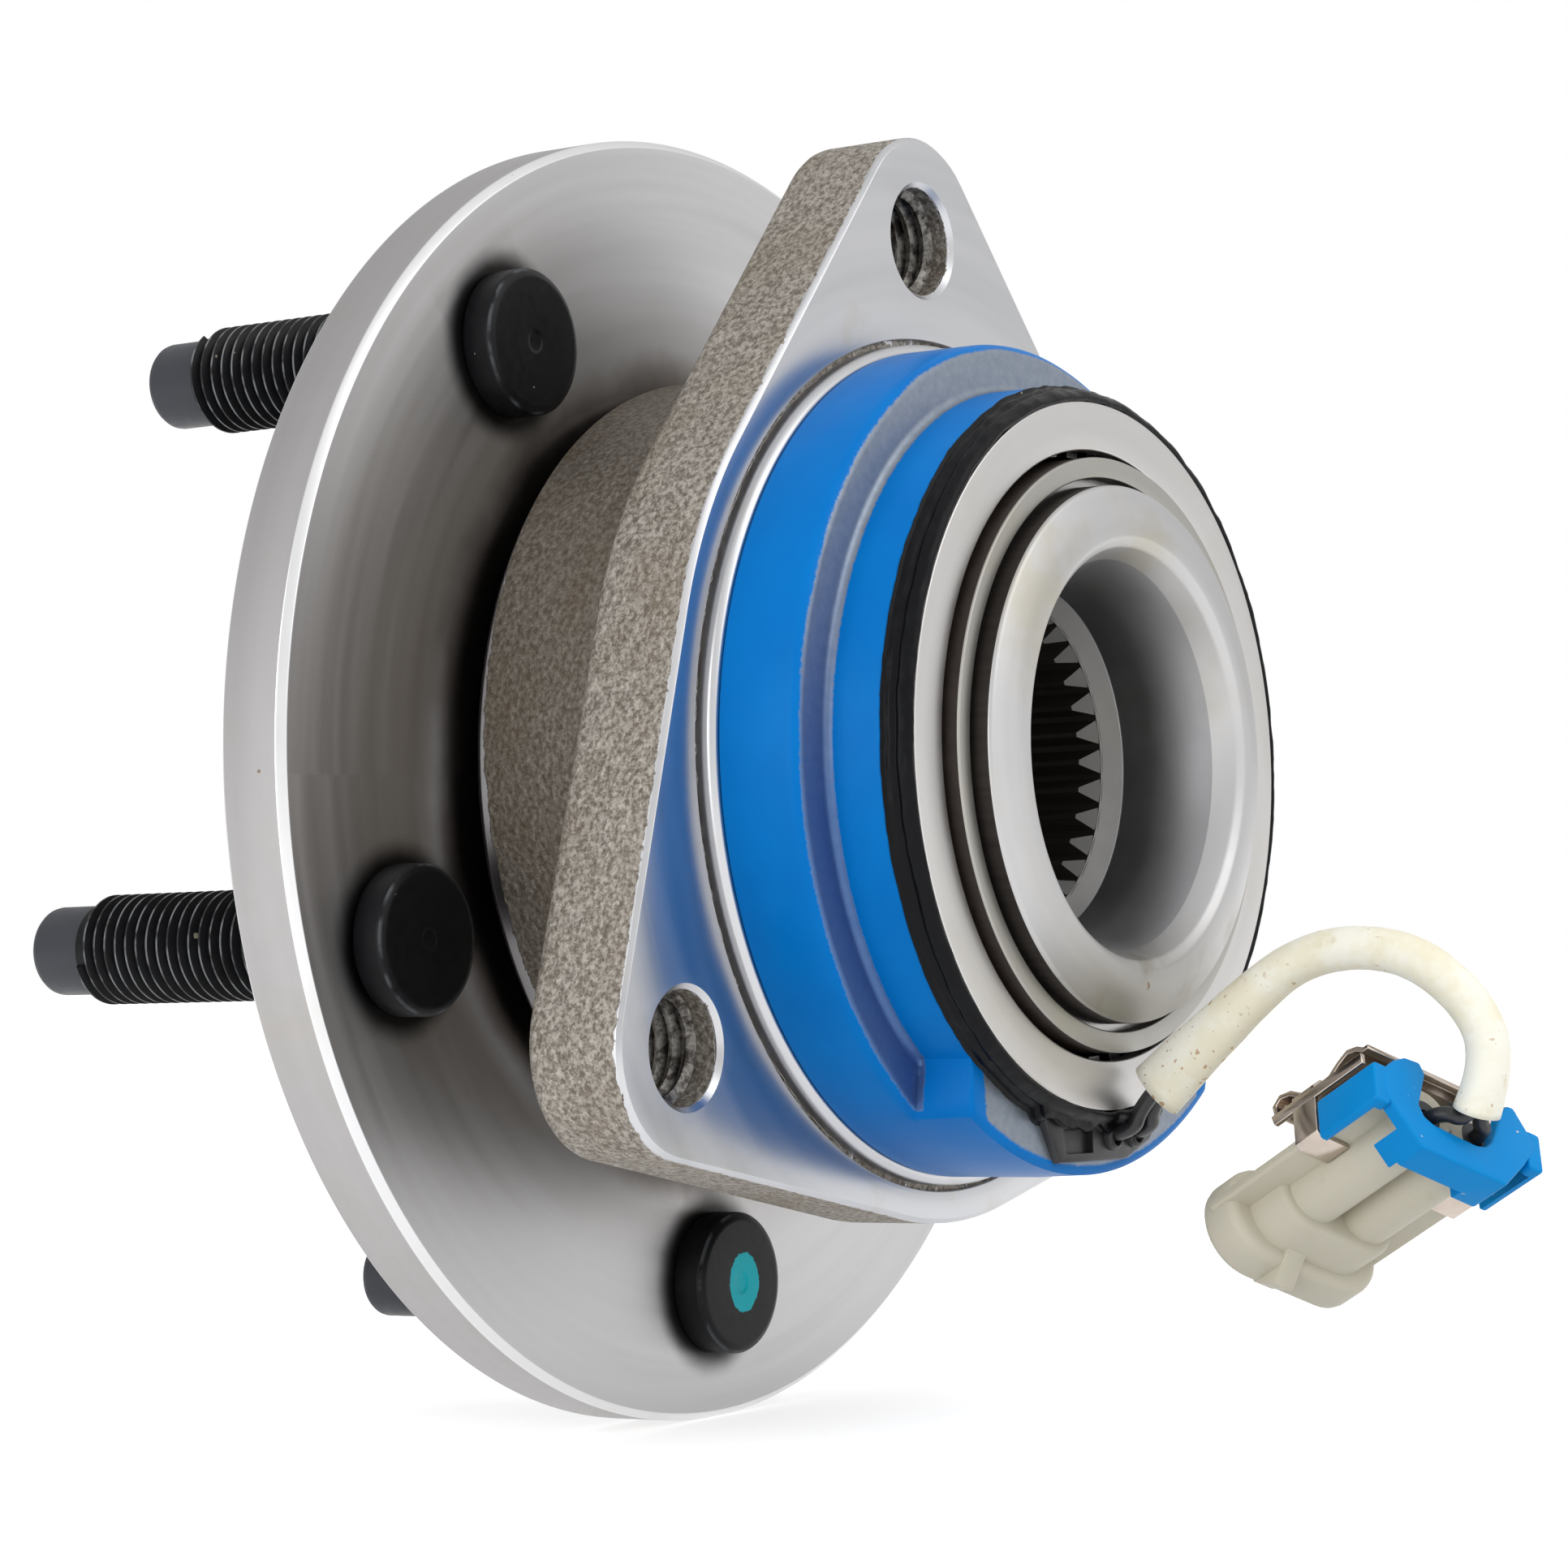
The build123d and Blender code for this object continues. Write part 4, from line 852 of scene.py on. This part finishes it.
block_face_y = -18.9 * mm
block_back_y = -12.6 * mm
block_outline = [(-12.4, -37.9), (-9.4, -43.3), (4.8, -43.7), (10.0, -42.0), (13.5, -39.0), (12.6, -37.7)]
block_x = 3.9 * mm
block_z = -41.1 * mm
wire_spacing = 4.7 * mm
well_depth = 0.75 * mm
same_height = 0.001 * mm
block_black = plain_finish("block_black", (36, 37, 40), (16, 16, 18), 0.0, 0.42, 700.0, 0.06 * mm)


def round_edges(bm, edges, offset, segments):
    """Round edges of a shape."""
    bmesh.ops.bevel(bm, geom=edges, offset=offset, offset_type="OFFSET", segments=segments, profile=0.5,
                    affect="EDGES", material=-1)


def prism(bm, outline, low_y, high_y, bevel=0.0):
    """A block of a flat outline of (x, z) in millimetres between two heights, its near rim rounded."""
    extrude_outline(bm, [(x * mm, low_y, z * mm) for x, z in outline], (0, high_y - low_y, 0))
    if bevel:
        rim = [e for e in bm.edges if all(abs(v.co.y - low_y) < same_height for v in e.verts)]
        round_edges(bm, rim, bevel, 2)


bm = bmesh.new()
prism(bm, block_outline, block_face_y, block_back_y, 0.35 * mm)
block = make_piece(bm, "block", [block_black])
bm = bmesh.new()
well = [(-8.6, -38.9), (-8.0, -42.4), (-2.4, -42.6), (-2.4, -38.9)]
prism(bm, well, block_face_y - 1 * mm, block_face_y + well_depth)
cut_piece(block, [make_piece(bm, "well", [])])
bm = bmesh.new()
for side in (-1, 1):
    turn_outline(bm, [(0.86 * mm, block_face_y + 0.5 * mm), (1.55 * mm, block_face_y + 0.5 * mm),
                      (1.4 * mm, block_face_y - 0.7 * mm, 0.2 * mm),
                      (1.0 * mm, block_face_y - 0.9 * mm, 0.1 * mm),
                      (0.86 * mm, block_face_y - 0.6 * mm)],
                 32, (block_x + side * wire_spacing / 2, 0, block_z))
boots = make_piece(bm, "boots", [block_black])
for piece in (block, boots):
    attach(piece, "outer")
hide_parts("terminal_block")


# Pigtail: two thin insulated wires in a soft cream sleeve, from the boots of the block to the
# connector. The sleeve is cut square at the block, where it is pressed flat, and flares at the
# connector, and it is freckled with brown dust.

cord_x = 2.0 * mm
sleeve_route = [
    (cord_x, -24.5 * mm, -36.2 * mm),
    (cord_x, -33.2 * mm, -28.7 * mm),
    (cord_x, -43.0 * mm, -21.5 * mm),
    (cord_x, -54.2 * mm, -21.5 * mm),
    (cord_x, -61.6 * mm, -26.8 * mm),
    (cord_x, -64.3 * mm, -33.2 * mm),
    (cord_x, -61.9 * mm, -38.6 * mm),
]
sleeve_r = 2.5 * mm
sleeve_bore_r = 1.95 * mm
wire_r = 0.85 * mm
wire_pair_half = 0.93 * mm
connector_at = Vector((2.0, -58.9, -40.3)) * mm
connector_front = Vector((0.199, 0.856, -0.476)).normalized()
connector_across = Vector((0.825, -0.408, -0.389))
connector_across -= connector_front * connector_across.dot(connector_front)
connector_across.normalize()
connector_down = connector_front.cross(connector_across)
connector_place = Matrix.Translation(connector_at) @ Matrix(
    (connector_across, connector_down, connector_front)).transposed().to_4x4()
cavity_half_pitch = 3.45 * mm


def nurbs_points(route, resolution=16):
    """Points along the smooth curve whose control points are a route."""
    curve = bpy.data.curves.new("route", "CURVE")
    curve.dimensions = "3D"
    curve.resolution_u = resolution
    spline = curve.splines.new("NURBS")
    spline.points.add(len(route) - 1)
    for point, at in zip(spline.points, route):
        point.co = (*at, 1.0)
    spline.order_u = 3
    spline.use_endpoint_u = True
    holder = bpy.data.objects.new("route", curve)
    mesh = bpy.data.meshes.new_from_object(holder)
    points = [v.co.copy() for v in mesh.vertices]
    bpy.data.objects.remove(holder)
    bpy.data.meshes.remove(mesh)
    bpy.data.curves.remove(curve)
    return points


def tube_along(bm, points, ring_at, sides=24):
    """A tube whose ring round each point is shaped by ring_at(share, turn) as (across X, in plane)."""
    ring = bmesh.ops.create_circle(bm, segments=sides, radius=1.0)["verts"]
    edges = list({e for v in ring for e in v.link_edges})
    for index, point in enumerate(points):
        if index:
            extruded = bmesh.ops.extrude_edge_only(bm, edges=edges)["geom"]
            ring = [g for g in extruded if isinstance(g, bmesh.types.BMVert)]
            edges = [g for g in extruded if isinstance(g, bmesh.types.BMEdge)
                     and all(v in ring for v in g.verts)]
        run = points[min(index + 1, len(points) - 1)] - points[max(index - 1, 0)]
        sideways = Vector((1, 0, 0)) - run.normalized() * run.normalized().x
        sideways.normalize()
        upright = run.normalized().cross(sideways)
        for turn_index, vert in enumerate(ring):
            turn = 2 * math.pi * turn_index / sides
            across, in_plane = ring_at(index / (len(points) - 1), turn)
            vert.co = point + sideways * across + upright * in_plane


def sleeve_ring(share, turn):
    """The sleeve's outline: flat where it is cut, round in the middle and flared at the end."""
    start = max(0.0, 1 - share / 0.28) ** 1.5
    end = max(0.0, 1 - (1 - share) / 0.13) ** 1.4
    across = sleeve_r * (0.92 - 0.08 * start + 0.42 * end)
    in_plane = sleeve_r * (0.92 + 0.42 * start + 0.02 * end)
    lump = 1 + 0.02 * noise.noise(Vector((share * 22, math.cos(turn) * 1.5, math.sin(turn) * 1.5)))
    return across * lump * math.cos(turn), in_plane * lump * math.sin(turn)


sleeve_cream, shader, place = start_material("sleeve_cream", Roughness=0.55, Subsurface_Weight=0.15,
                                             Subsurface_Radius=(0.8, 0.6, 0.35), Subsurface_Scale=0.002)
soil = place.cloud(230.0, 4.0, 0.7).ease(0.6, 0.74)
patches = place.cloud(150.0, 3.0).ease(0.5, 0.62)
near_cut = place.split()[1].ease(-0.040, -0.032)
freckles = use(flecks, Place=place, Cells_per_m=1500.0, Share=0.4, Size=0.4)["Mask"]
freckles = freckles * patches.math("MAXIMUM", near_cut)
cream = place.cloud(130.0, 4.0, 0.65).ease(0.4, 0.62).blend(colour(246, 243, 228), colour(238, 231, 206))
cream = (soil * 0.5).blend(cream, colour(214, 196, 160))
cream = (freckles * 0.7).blend(cream, colour(172, 122, 62))
finish(shader, cream, place.cloud(600.0, 3.0), 0.3, 0.06 * mm)

sleeve_line = nurbs_points(sleeve_route)
bm = bmesh.new()
tube_along(bm, sleeve_line, sleeve_ring, 32)
sleeve = make_piece(bm, "sleeve", [sleeve_cream], math.radians(60))
wall = sleeve.modifiers.new("wall", "SOLIDIFY")
wall.thickness = sleeve_r - sleeve_bore_r
wall.offset = -1.0
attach(sleeve, "outer")
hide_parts("wire_sleeve")

wire_black = plain_finish("wire_black", (38, 38, 40), (20, 20, 22), 0.0, 0.38, 1200.0, 0.02 * mm)
first, second = (Vector(point) for point in sleeve_route[:2])
before_last, last = (Vector(point) for point in sleeve_route[-2:])
lead_out = first - (second - first).normalized() * 2.0 * mm
lead_in = last + (last - before_last).normalized() * 1.2 * mm
for side, name in ((-1, "wire_left"), (1, "wire_right")):
    shift = Vector((side * wire_pair_half, 0, 0))
    boot_x = block_x + side * wire_spacing / 2
    wire_route = [Vector((boot_x, block_back_y - 2 * mm, block_z)),
                  Vector((boot_x, block_face_y - 2.7 * mm, block_z)), lead_out + shift]
    wire_route += [Vector(point) + shift for point in sleeve_route[1:-1]]
    wire_route += [lead_in + shift, connector_place @ Vector((side * cavity_half_pitch, 0, -1.8 * mm)),
                   connector_place @ Vector((side * cavity_half_pitch, 0, 4.0 * mm))]
    wire_line = nurbs_points(wire_route, 12)
    bm = bmesh.new()
    tube_along(bm, wire_line, lambda share, turn: (wire_r * math.cos(turn), wire_r * math.sin(turn)), 16)
    bmesh.ops.holes_fill(bm, edges=bm.edges[:], sides=0)
    wire = make_piece(bm, name, [wire_black])
    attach(wire, "outer")
    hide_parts("sensor_wires")


# Connector shell: a grey nylon moulding with two round cavities side by side, a stepped skirt round
# the socket at the front and a latch wedge on its underside.

wing_size = (21.2 * mm, 1.3 * mm, 0.45 * mm)
wing_y = -0.43 * mm
wing_end = 26.0 * mm
hump_r = 3.3 * mm
step_at = 17.5 * mm
skirt_at = 22.8 * mm
shell_length = 28.0 * mm
step_size = (15.4 * mm, 8.6 * mm, 4.2 * mm)
skirt_size = (20.4 * mm, 11.2 * mm, 5.5 * mm)
socket_size = (13.4 * mm, 6.8 * mm, 3.3 * mm)
socket_depth = 10.0 * mm
latch_outline = [(4.0, 21.8), (7.45, 24.5), (5.3, 27.9), (4.0, 27.9)]
latch_low = -3.45 * mm
latch_high = -0.95 * mm


def rounded_slab(bm, size, low, high, centre=(0.0, 0.0), bevel=0.0, sides=10):
    """A slab along the connector's axis with a rounded rectangle as its section."""
    width, height, radius = size
    corners = [(width / 2 - radius, height / 2 - radius, 0), (radius - width / 2, height / 2 - radius, 90),
               (radius - width / 2, radius - height / 2, 180), (width / 2 - radius, radius - height / 2, 270)]
    rim = []
    for x, y, start in corners:
        for step in range(sides + 1):
            angle = math.radians(start + 90 * step / sides)
            rim.append((centre[0] + x + radius * math.cos(angle),
                        centre[1] + y + radius * math.sin(angle), low))
    near, moved = extrude_outline(bm, rim, (0, 0, high - low))
    if bevel:
        edges = {e for v in near + moved for e in v.link_edges}
        rims = [e for e in edges if abs(e.verts[0].co.z - e.verts[1].co.z) < same_height]
        round_edges(bm, rims, bevel, 3)


def join_pieces(piece, others):
    """Fuse closed shapes into one skin, and bake the result into the first one's mesh."""
    for other in others:
        fuse = piece.modifiers.new("fuse", "BOOLEAN")
        fuse.operation = "UNION"
        fuse.solver = "EXACT"
        fuse.object = other
    cut_piece(piece, [])
    for other in others:
        bpy.data.objects.remove(other)


shell_grey, shader, place = start_material("shell_grey", Roughness=0.5, Subsurface_Weight=0.08,
                                           Subsurface_Scale=0.0015)
soil = place.cloud(150.0, 4.0, 0.7).ease(0.56, 0.76)
grey = place.cloud(90.0, 3.0).blend(colour(190, 184, 165), colour(202, 197, 180))
finish(shader, (soil * 0.45).blend(grey, colour(178, 166, 130)), place.cloud(1800.0), 0.25, 0.03 * mm)

bm = bmesh.new()
rounded_slab(bm, wing_size, 0, wing_end, (0, wing_y), 0.3 * mm)
shell = make_piece(bm, "shell", [shell_grey])
parts = []
for side in (-1, 1):
    bm = bmesh.new()
    rounded_slab(bm, (2 * hump_r, 2 * hump_r, hump_r - 0.1 * mm), 0.01 * mm, skirt_at,
                 (side * cavity_half_pitch, 0), 0.2 * mm)
    parts.append(make_piece(bm, "hump", [shell_grey]))
for size, low, high, bevel in ((step_size, step_at, skirt_at + 2 * mm, 0.8 * mm),
                               (skirt_size, skirt_at, shell_length, 1.1 * mm)):
    bm = bmesh.new()
    rounded_slab(bm, size, low, high, (0, 0), bevel)
    parts.append(make_piece(bm, "collar", [shell_grey]))
bm = bmesh.new()
extrude_outline(bm, [(latch_low, y * mm, z * mm) for y, z in latch_outline], (latch_high - latch_low, 0, 0))
round_edges(bm, bm.edges[:], 0.15 * mm, 2)
parts.append(make_piece(bm, "latch", [shell_grey]))
join_pieces(shell, parts)
cutters = []
bm = bmesh.new()
rounded_slab(bm, socket_size, shell_length - socket_depth, shell_length + 1 * mm)
cutters.append(make_piece(bm, "socket", []))
for side in (-1, 1):
    bm = bmesh.new()
    rounded_slab(bm, (3.8 * mm, 3.8 * mm, 1.75 * mm), -1 * mm, 4.0 * mm, (side * cavity_half_pitch, 0), 0, 8)
    cutters.append(make_piece(bm, "cavity", []))
cut_piece(shell, cutters)
shell.data.transform(connector_place)
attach(shell, "outer")
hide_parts("connector_shell")

dress("wire_seals", plain_finish("seal_rubber", (60, 62, 66), (36, 38, 42), 0.0, 0.5, 900.0, 0.02 * mm))
dress("terminal_pins", plain_finish("pin_tin", (214, 206, 186), (188, 180, 160), 1.0, 0.3, 900.0, 0.01 * mm))


# Connector lock: a bright blue nylon yoke pushed over the rear of the shell, with a slot for the
# wires between two arms. It secures the terminals.

lock_back = -1.5 * mm
lock_front = 3.7 * mm
lock_lip = 2.3 * mm
lock_arm_end = 7.5 * mm
lock_rim = [
    (-10.4, -1.0), (-10.1, -2.4), (-8.6, -4.2), (-7.0, -5.2), (-5.0, -5.4), (-4.3, -4.2),
    (-5.6, 0.2), (-5.0, 1.4), (-3.8, 1.9), (2.0, 2.1), (3.4, 1.7), (4.3, 0.8), (5.1, -1.2),
    (6.2, -3.8), (7.1, -5.0), (8.0, -5.1), (10.8, -1.2), (8.8, 1.8), (5.7, 5.6), (-5.7, 5.6), (-10.2, 0.6)]
lock_blue, shader, place = start_material("lock_blue", Roughness=0.45, Specular_IOR_Level=0.12)
chips = use(flecks, Place=place, Cells_per_m=1100.0, Share=0.14, Size=0.3)["Mask"]
chips = chips * place.cloud(210.0).ease(0.52, 0.6)
tone = place.cloud(160.0, 3.0).blend(colour(0, 128, 200), colour(0, 140, 212))
finish(shader, (chips * 0.85).blend(tone, colour(214, 208, 200)), place.cloud(1500.0), 0.2, 0.02 * mm)

bm = bmesh.new()
extrude_outline(bm, [(x * mm, y * mm, lock_back) for x, y in lock_rim], (0, 0, lock_front - lock_back))
round_edges(bm, bm.edges[:], 0.3 * mm, 3)
lock = make_piece(bm, "lock", [lock_blue])
arms = []
for side in (-1, 1):
    bm = bmesh.new()
    rounded_slab(bm, (2.0 * mm, 4.8 * mm, 0.5 * mm), lock_back + 0.1 * mm, lock_arm_end,
                 (side * 10.5 * mm, -0.6 * mm), 0.3 * mm, 4)
    arms.append(make_piece(bm, "arm", [lock_blue]))
join_pieces(lock, arms)
cutters = []
room_width = wing_size[0] + 0.04 * mm
bm = bmesh.new()
rounded_slab(bm, (room_width, 8.0 * mm + hump_r, 0.05 * mm), 0, 8 * mm, (0, hump_r / 2 - 4.0 * mm), 0, 1)
cutters.append(make_piece(bm, "room", []))
bm = bmesh.new()
rounded_slab(bm, (8.6 * mm, 4.0 * mm, 0.4 * mm), lock_lip, 5 * mm, (-1.6 * mm, hump_r + 1.9 * mm), 0, 3)
cutters.append(make_piece(bm, "lip", []))
cut_piece(lock, cutters)
lock.data.transform(connector_place)
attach(lock, "outer")
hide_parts("connector_lock")


# Connector clip: a stainless spring bent from strip, round the back and sides of the shell, with a
# leaf on top that curls over at its end.

clip_start = 8.0 * mm
clip_end = 11.5 * mm
clip_sheet = 0.6 * mm
clip_side = wing_size[0] / 2 + 0.32 * mm
clip_top = -6.3 * mm
clip_foot = wing_y + wing_size[1] / 2 + 0.32 * mm
clip_leg_end = 6.9 * mm
rail_outline = [(-3.9, 0.6), (-3.9, 14.4), (-5.2, 14.8), (-5.2, 0.6)]
leaf_line = [(0.4, -6.3), (1.2, -6.3), (2.2, -7.0), (3.6, -7.4), (5.0, -6.8), (6.5, -5.9), (8.5, -5.6),
             (11.0, -6.2), (12.6, -7.4), (14.2, -7.8), (15.2, -7.1), (15.0, -6.0), (14.0, -5.6), (13.2, -6.2)]
clip_stainless, shader, place = start_material("clip_stainless", Metallic=1.0)
mottle = place.cloud(400.0, 4.0, 0.6)
finish(shader, mottle.blend(colour(176, 160, 146), colour(208, 198, 190)), mottle, 0.3, 0.04 * mm,
       Roughness=mottle * 0.15 + 0.14)


def bend_strip(bm, line, across):
    """A strip without thickness that follows a line of points and is as wide as a vector."""
    verts = [bm.verts.new(point) for point in line]
    edges = [bm.edges.new(pair) for pair in zip(verts, verts[1:])]
    strip = bmesh.ops.extrude_edge_only(bm, edges=edges)["geom"]
    bmesh.ops.translate(bm, vec=across, verts=[g for g in strip if isinstance(g, bmesh.types.BMVert)])


bm = bmesh.new()
band_line = [(-clip_leg_end, clip_foot), (0.4 * mm - clip_side, clip_foot),
             (-clip_side, clip_foot - 0.4 * mm), (-clip_side, clip_top + 0.9 * mm),
             (0.9 * mm - clip_side, clip_top)]
band_line += [(-x, y) for x, y in reversed(band_line)]
bend_strip(bm, [(x, y, clip_start) for x, y in band_line], (0, 0, clip_end - clip_start))
leaf_half = clip_side - 0.6 * mm
bend_strip(bm, [(-leaf_half, y * mm, z * mm) for z, y in leaf_line], (2 * leaf_half, 0, 0))
for side in (-1, 1):
    bm.faces.new([bm.verts.new((side * clip_side, y * mm, z * mm)) for y, z in rail_outline])
clip = make_piece(bm, "clip", [clip_stainless])
wall = clip.modifiers.new("wall", "SOLIDIFY")
wall.thickness = clip_sheet
wall.offset = 0.0
rounding = clip.modifiers.new("rounding", "BEVEL")
rounding.width = 0.12 * mm
rounding.segments = 2
clip.data.transform(connector_place)
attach(clip, "outer")
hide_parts("connector_clip")


# Stage: a pale floor under the flange's rim, a white surround, and soft studio light from two large
# lamps, one high up on the camera's right and one level with the part on its left.

floor_z = -flange_r
floor_size = 6.0


def ray_kinds(tree):
    """Whether a ray is the camera's, a mirrored one or one through glass."""
    path = tree.nodes.new("ShaderNodeLightPath").outputs
    return [Field(path[kind]) for kind in ("Is Camera Ray", "Is Glossy Ray", "Is Transmission Ray")]


floor_paper = bpy.data.materials.new("floor_paper")
floor_paper.use_nodes = True
tree = floor_paper.node_tree
paper = tree.nodes["Principled BSDF"]
paper.inputs["Base Color"].default_value = (0.8, 0.8, 0.8, 1.0)
paper.inputs["Roughness"].default_value = 1.0
paper.inputs["Specular IOR Level"].default_value = 0.0
camera_ray, glossy_ray, transmission_ray = ray_kinds(tree)
seen = camera_ray.math("MAXIMUM", glossy_ray).math("MAXIMUM", transmission_ray)
glow = seen.node("ShaderNodeEmission", {"Color": (1, 1, 1, 1), "Strength": seen * 0.6})
both = seen.node("ShaderNodeAddShader", {0: Field(paper.outputs[0]), 1: Field(glow.outputs[0])})
feed(tree.nodes["Material Output"].inputs["Surface"], Field(both.outputs[0]))
bm = bmesh.new()
bmesh.ops.create_grid(bm, x_segments=1, y_segments=1, size=floor_size / 2)
bmesh.ops.translate(bm, vec=(0, 0, floor_z), verts=bm.verts)
floor = make_piece(bm, "floor", [floor_paper])

world = bpy.data.worlds.new("studio")
scene.world = world
world.use_nodes = True
tree = world.node_tree
background = tree.nodes["Background"]
camera_ray, glossy_ray, transmission_ray = ray_kinds(tree)
seen = camera_ray.math("MAXIMUM", transmission_ray)
direction = Field(tree.nodes.new("ShaderNodeTexCoord").outputs["Generated"])
facing = direction.node("ShaderNodeVectorMath", {0: direction, 1: (0.0, -0.8, 0.45)}, operation="DOT_PRODUCT")
room = Field(facing.outputs["Value"]).ease(-0.6, 0.9, 0.62, 1.0)
background.inputs["Color"].default_value = (1, 1, 1, 1)
feed(background.inputs["Strength"], glossy_ray.lean(seen.lean(room * 0.95, 1.0), room))


def add_lamp(name, at, target, size, power):
    """A square soft lamp that faces a point."""
    lamp = bpy.data.lights.new(name, "AREA")
    lamp.size = size
    lamp.energy = power
    holder = bpy.data.objects.new(name, lamp)
    holder.location = at
    holder.rotation_euler = (Vector(target) - Vector(at)).to_track_quat("-Z", "Y").to_euler()
    scene.collection.objects.link(holder)


add_lamp("key", (0.05, -0.85, 0.7), (0, 0, 0), 0.8, 3.0)
add_lamp("fill", (-0.95, 0.1, 0.05), (0, 0, 0), 0.8, 4.2)

scene.view_settings.view_transform = "Standard"

camera_data = bpy.data.cameras.new("camera")
camera_data.sensor_width = 36.0
camera_data.lens = 101.05
camera_data.clip_start = 0.01
camera_data.clip_end = 20.0
camera = bpy.data.objects.new("camera", camera_data)
camera_at = Vector((-0.41166, -0.25750, -0.01576))
camera_right = Vector((0.56092, -0.82713, -0.03512))
camera_up = Vector((-0.00455, -0.04550, 0.99895))
camera_back = camera_right.cross(camera_up)
camera.matrix_world = Matrix.Translation(camera_at) @ Matrix(
    (camera_right, camera_up, camera_back)).transposed().to_4x4()
scene.collection.objects.link(camera)
scene.camera = camera
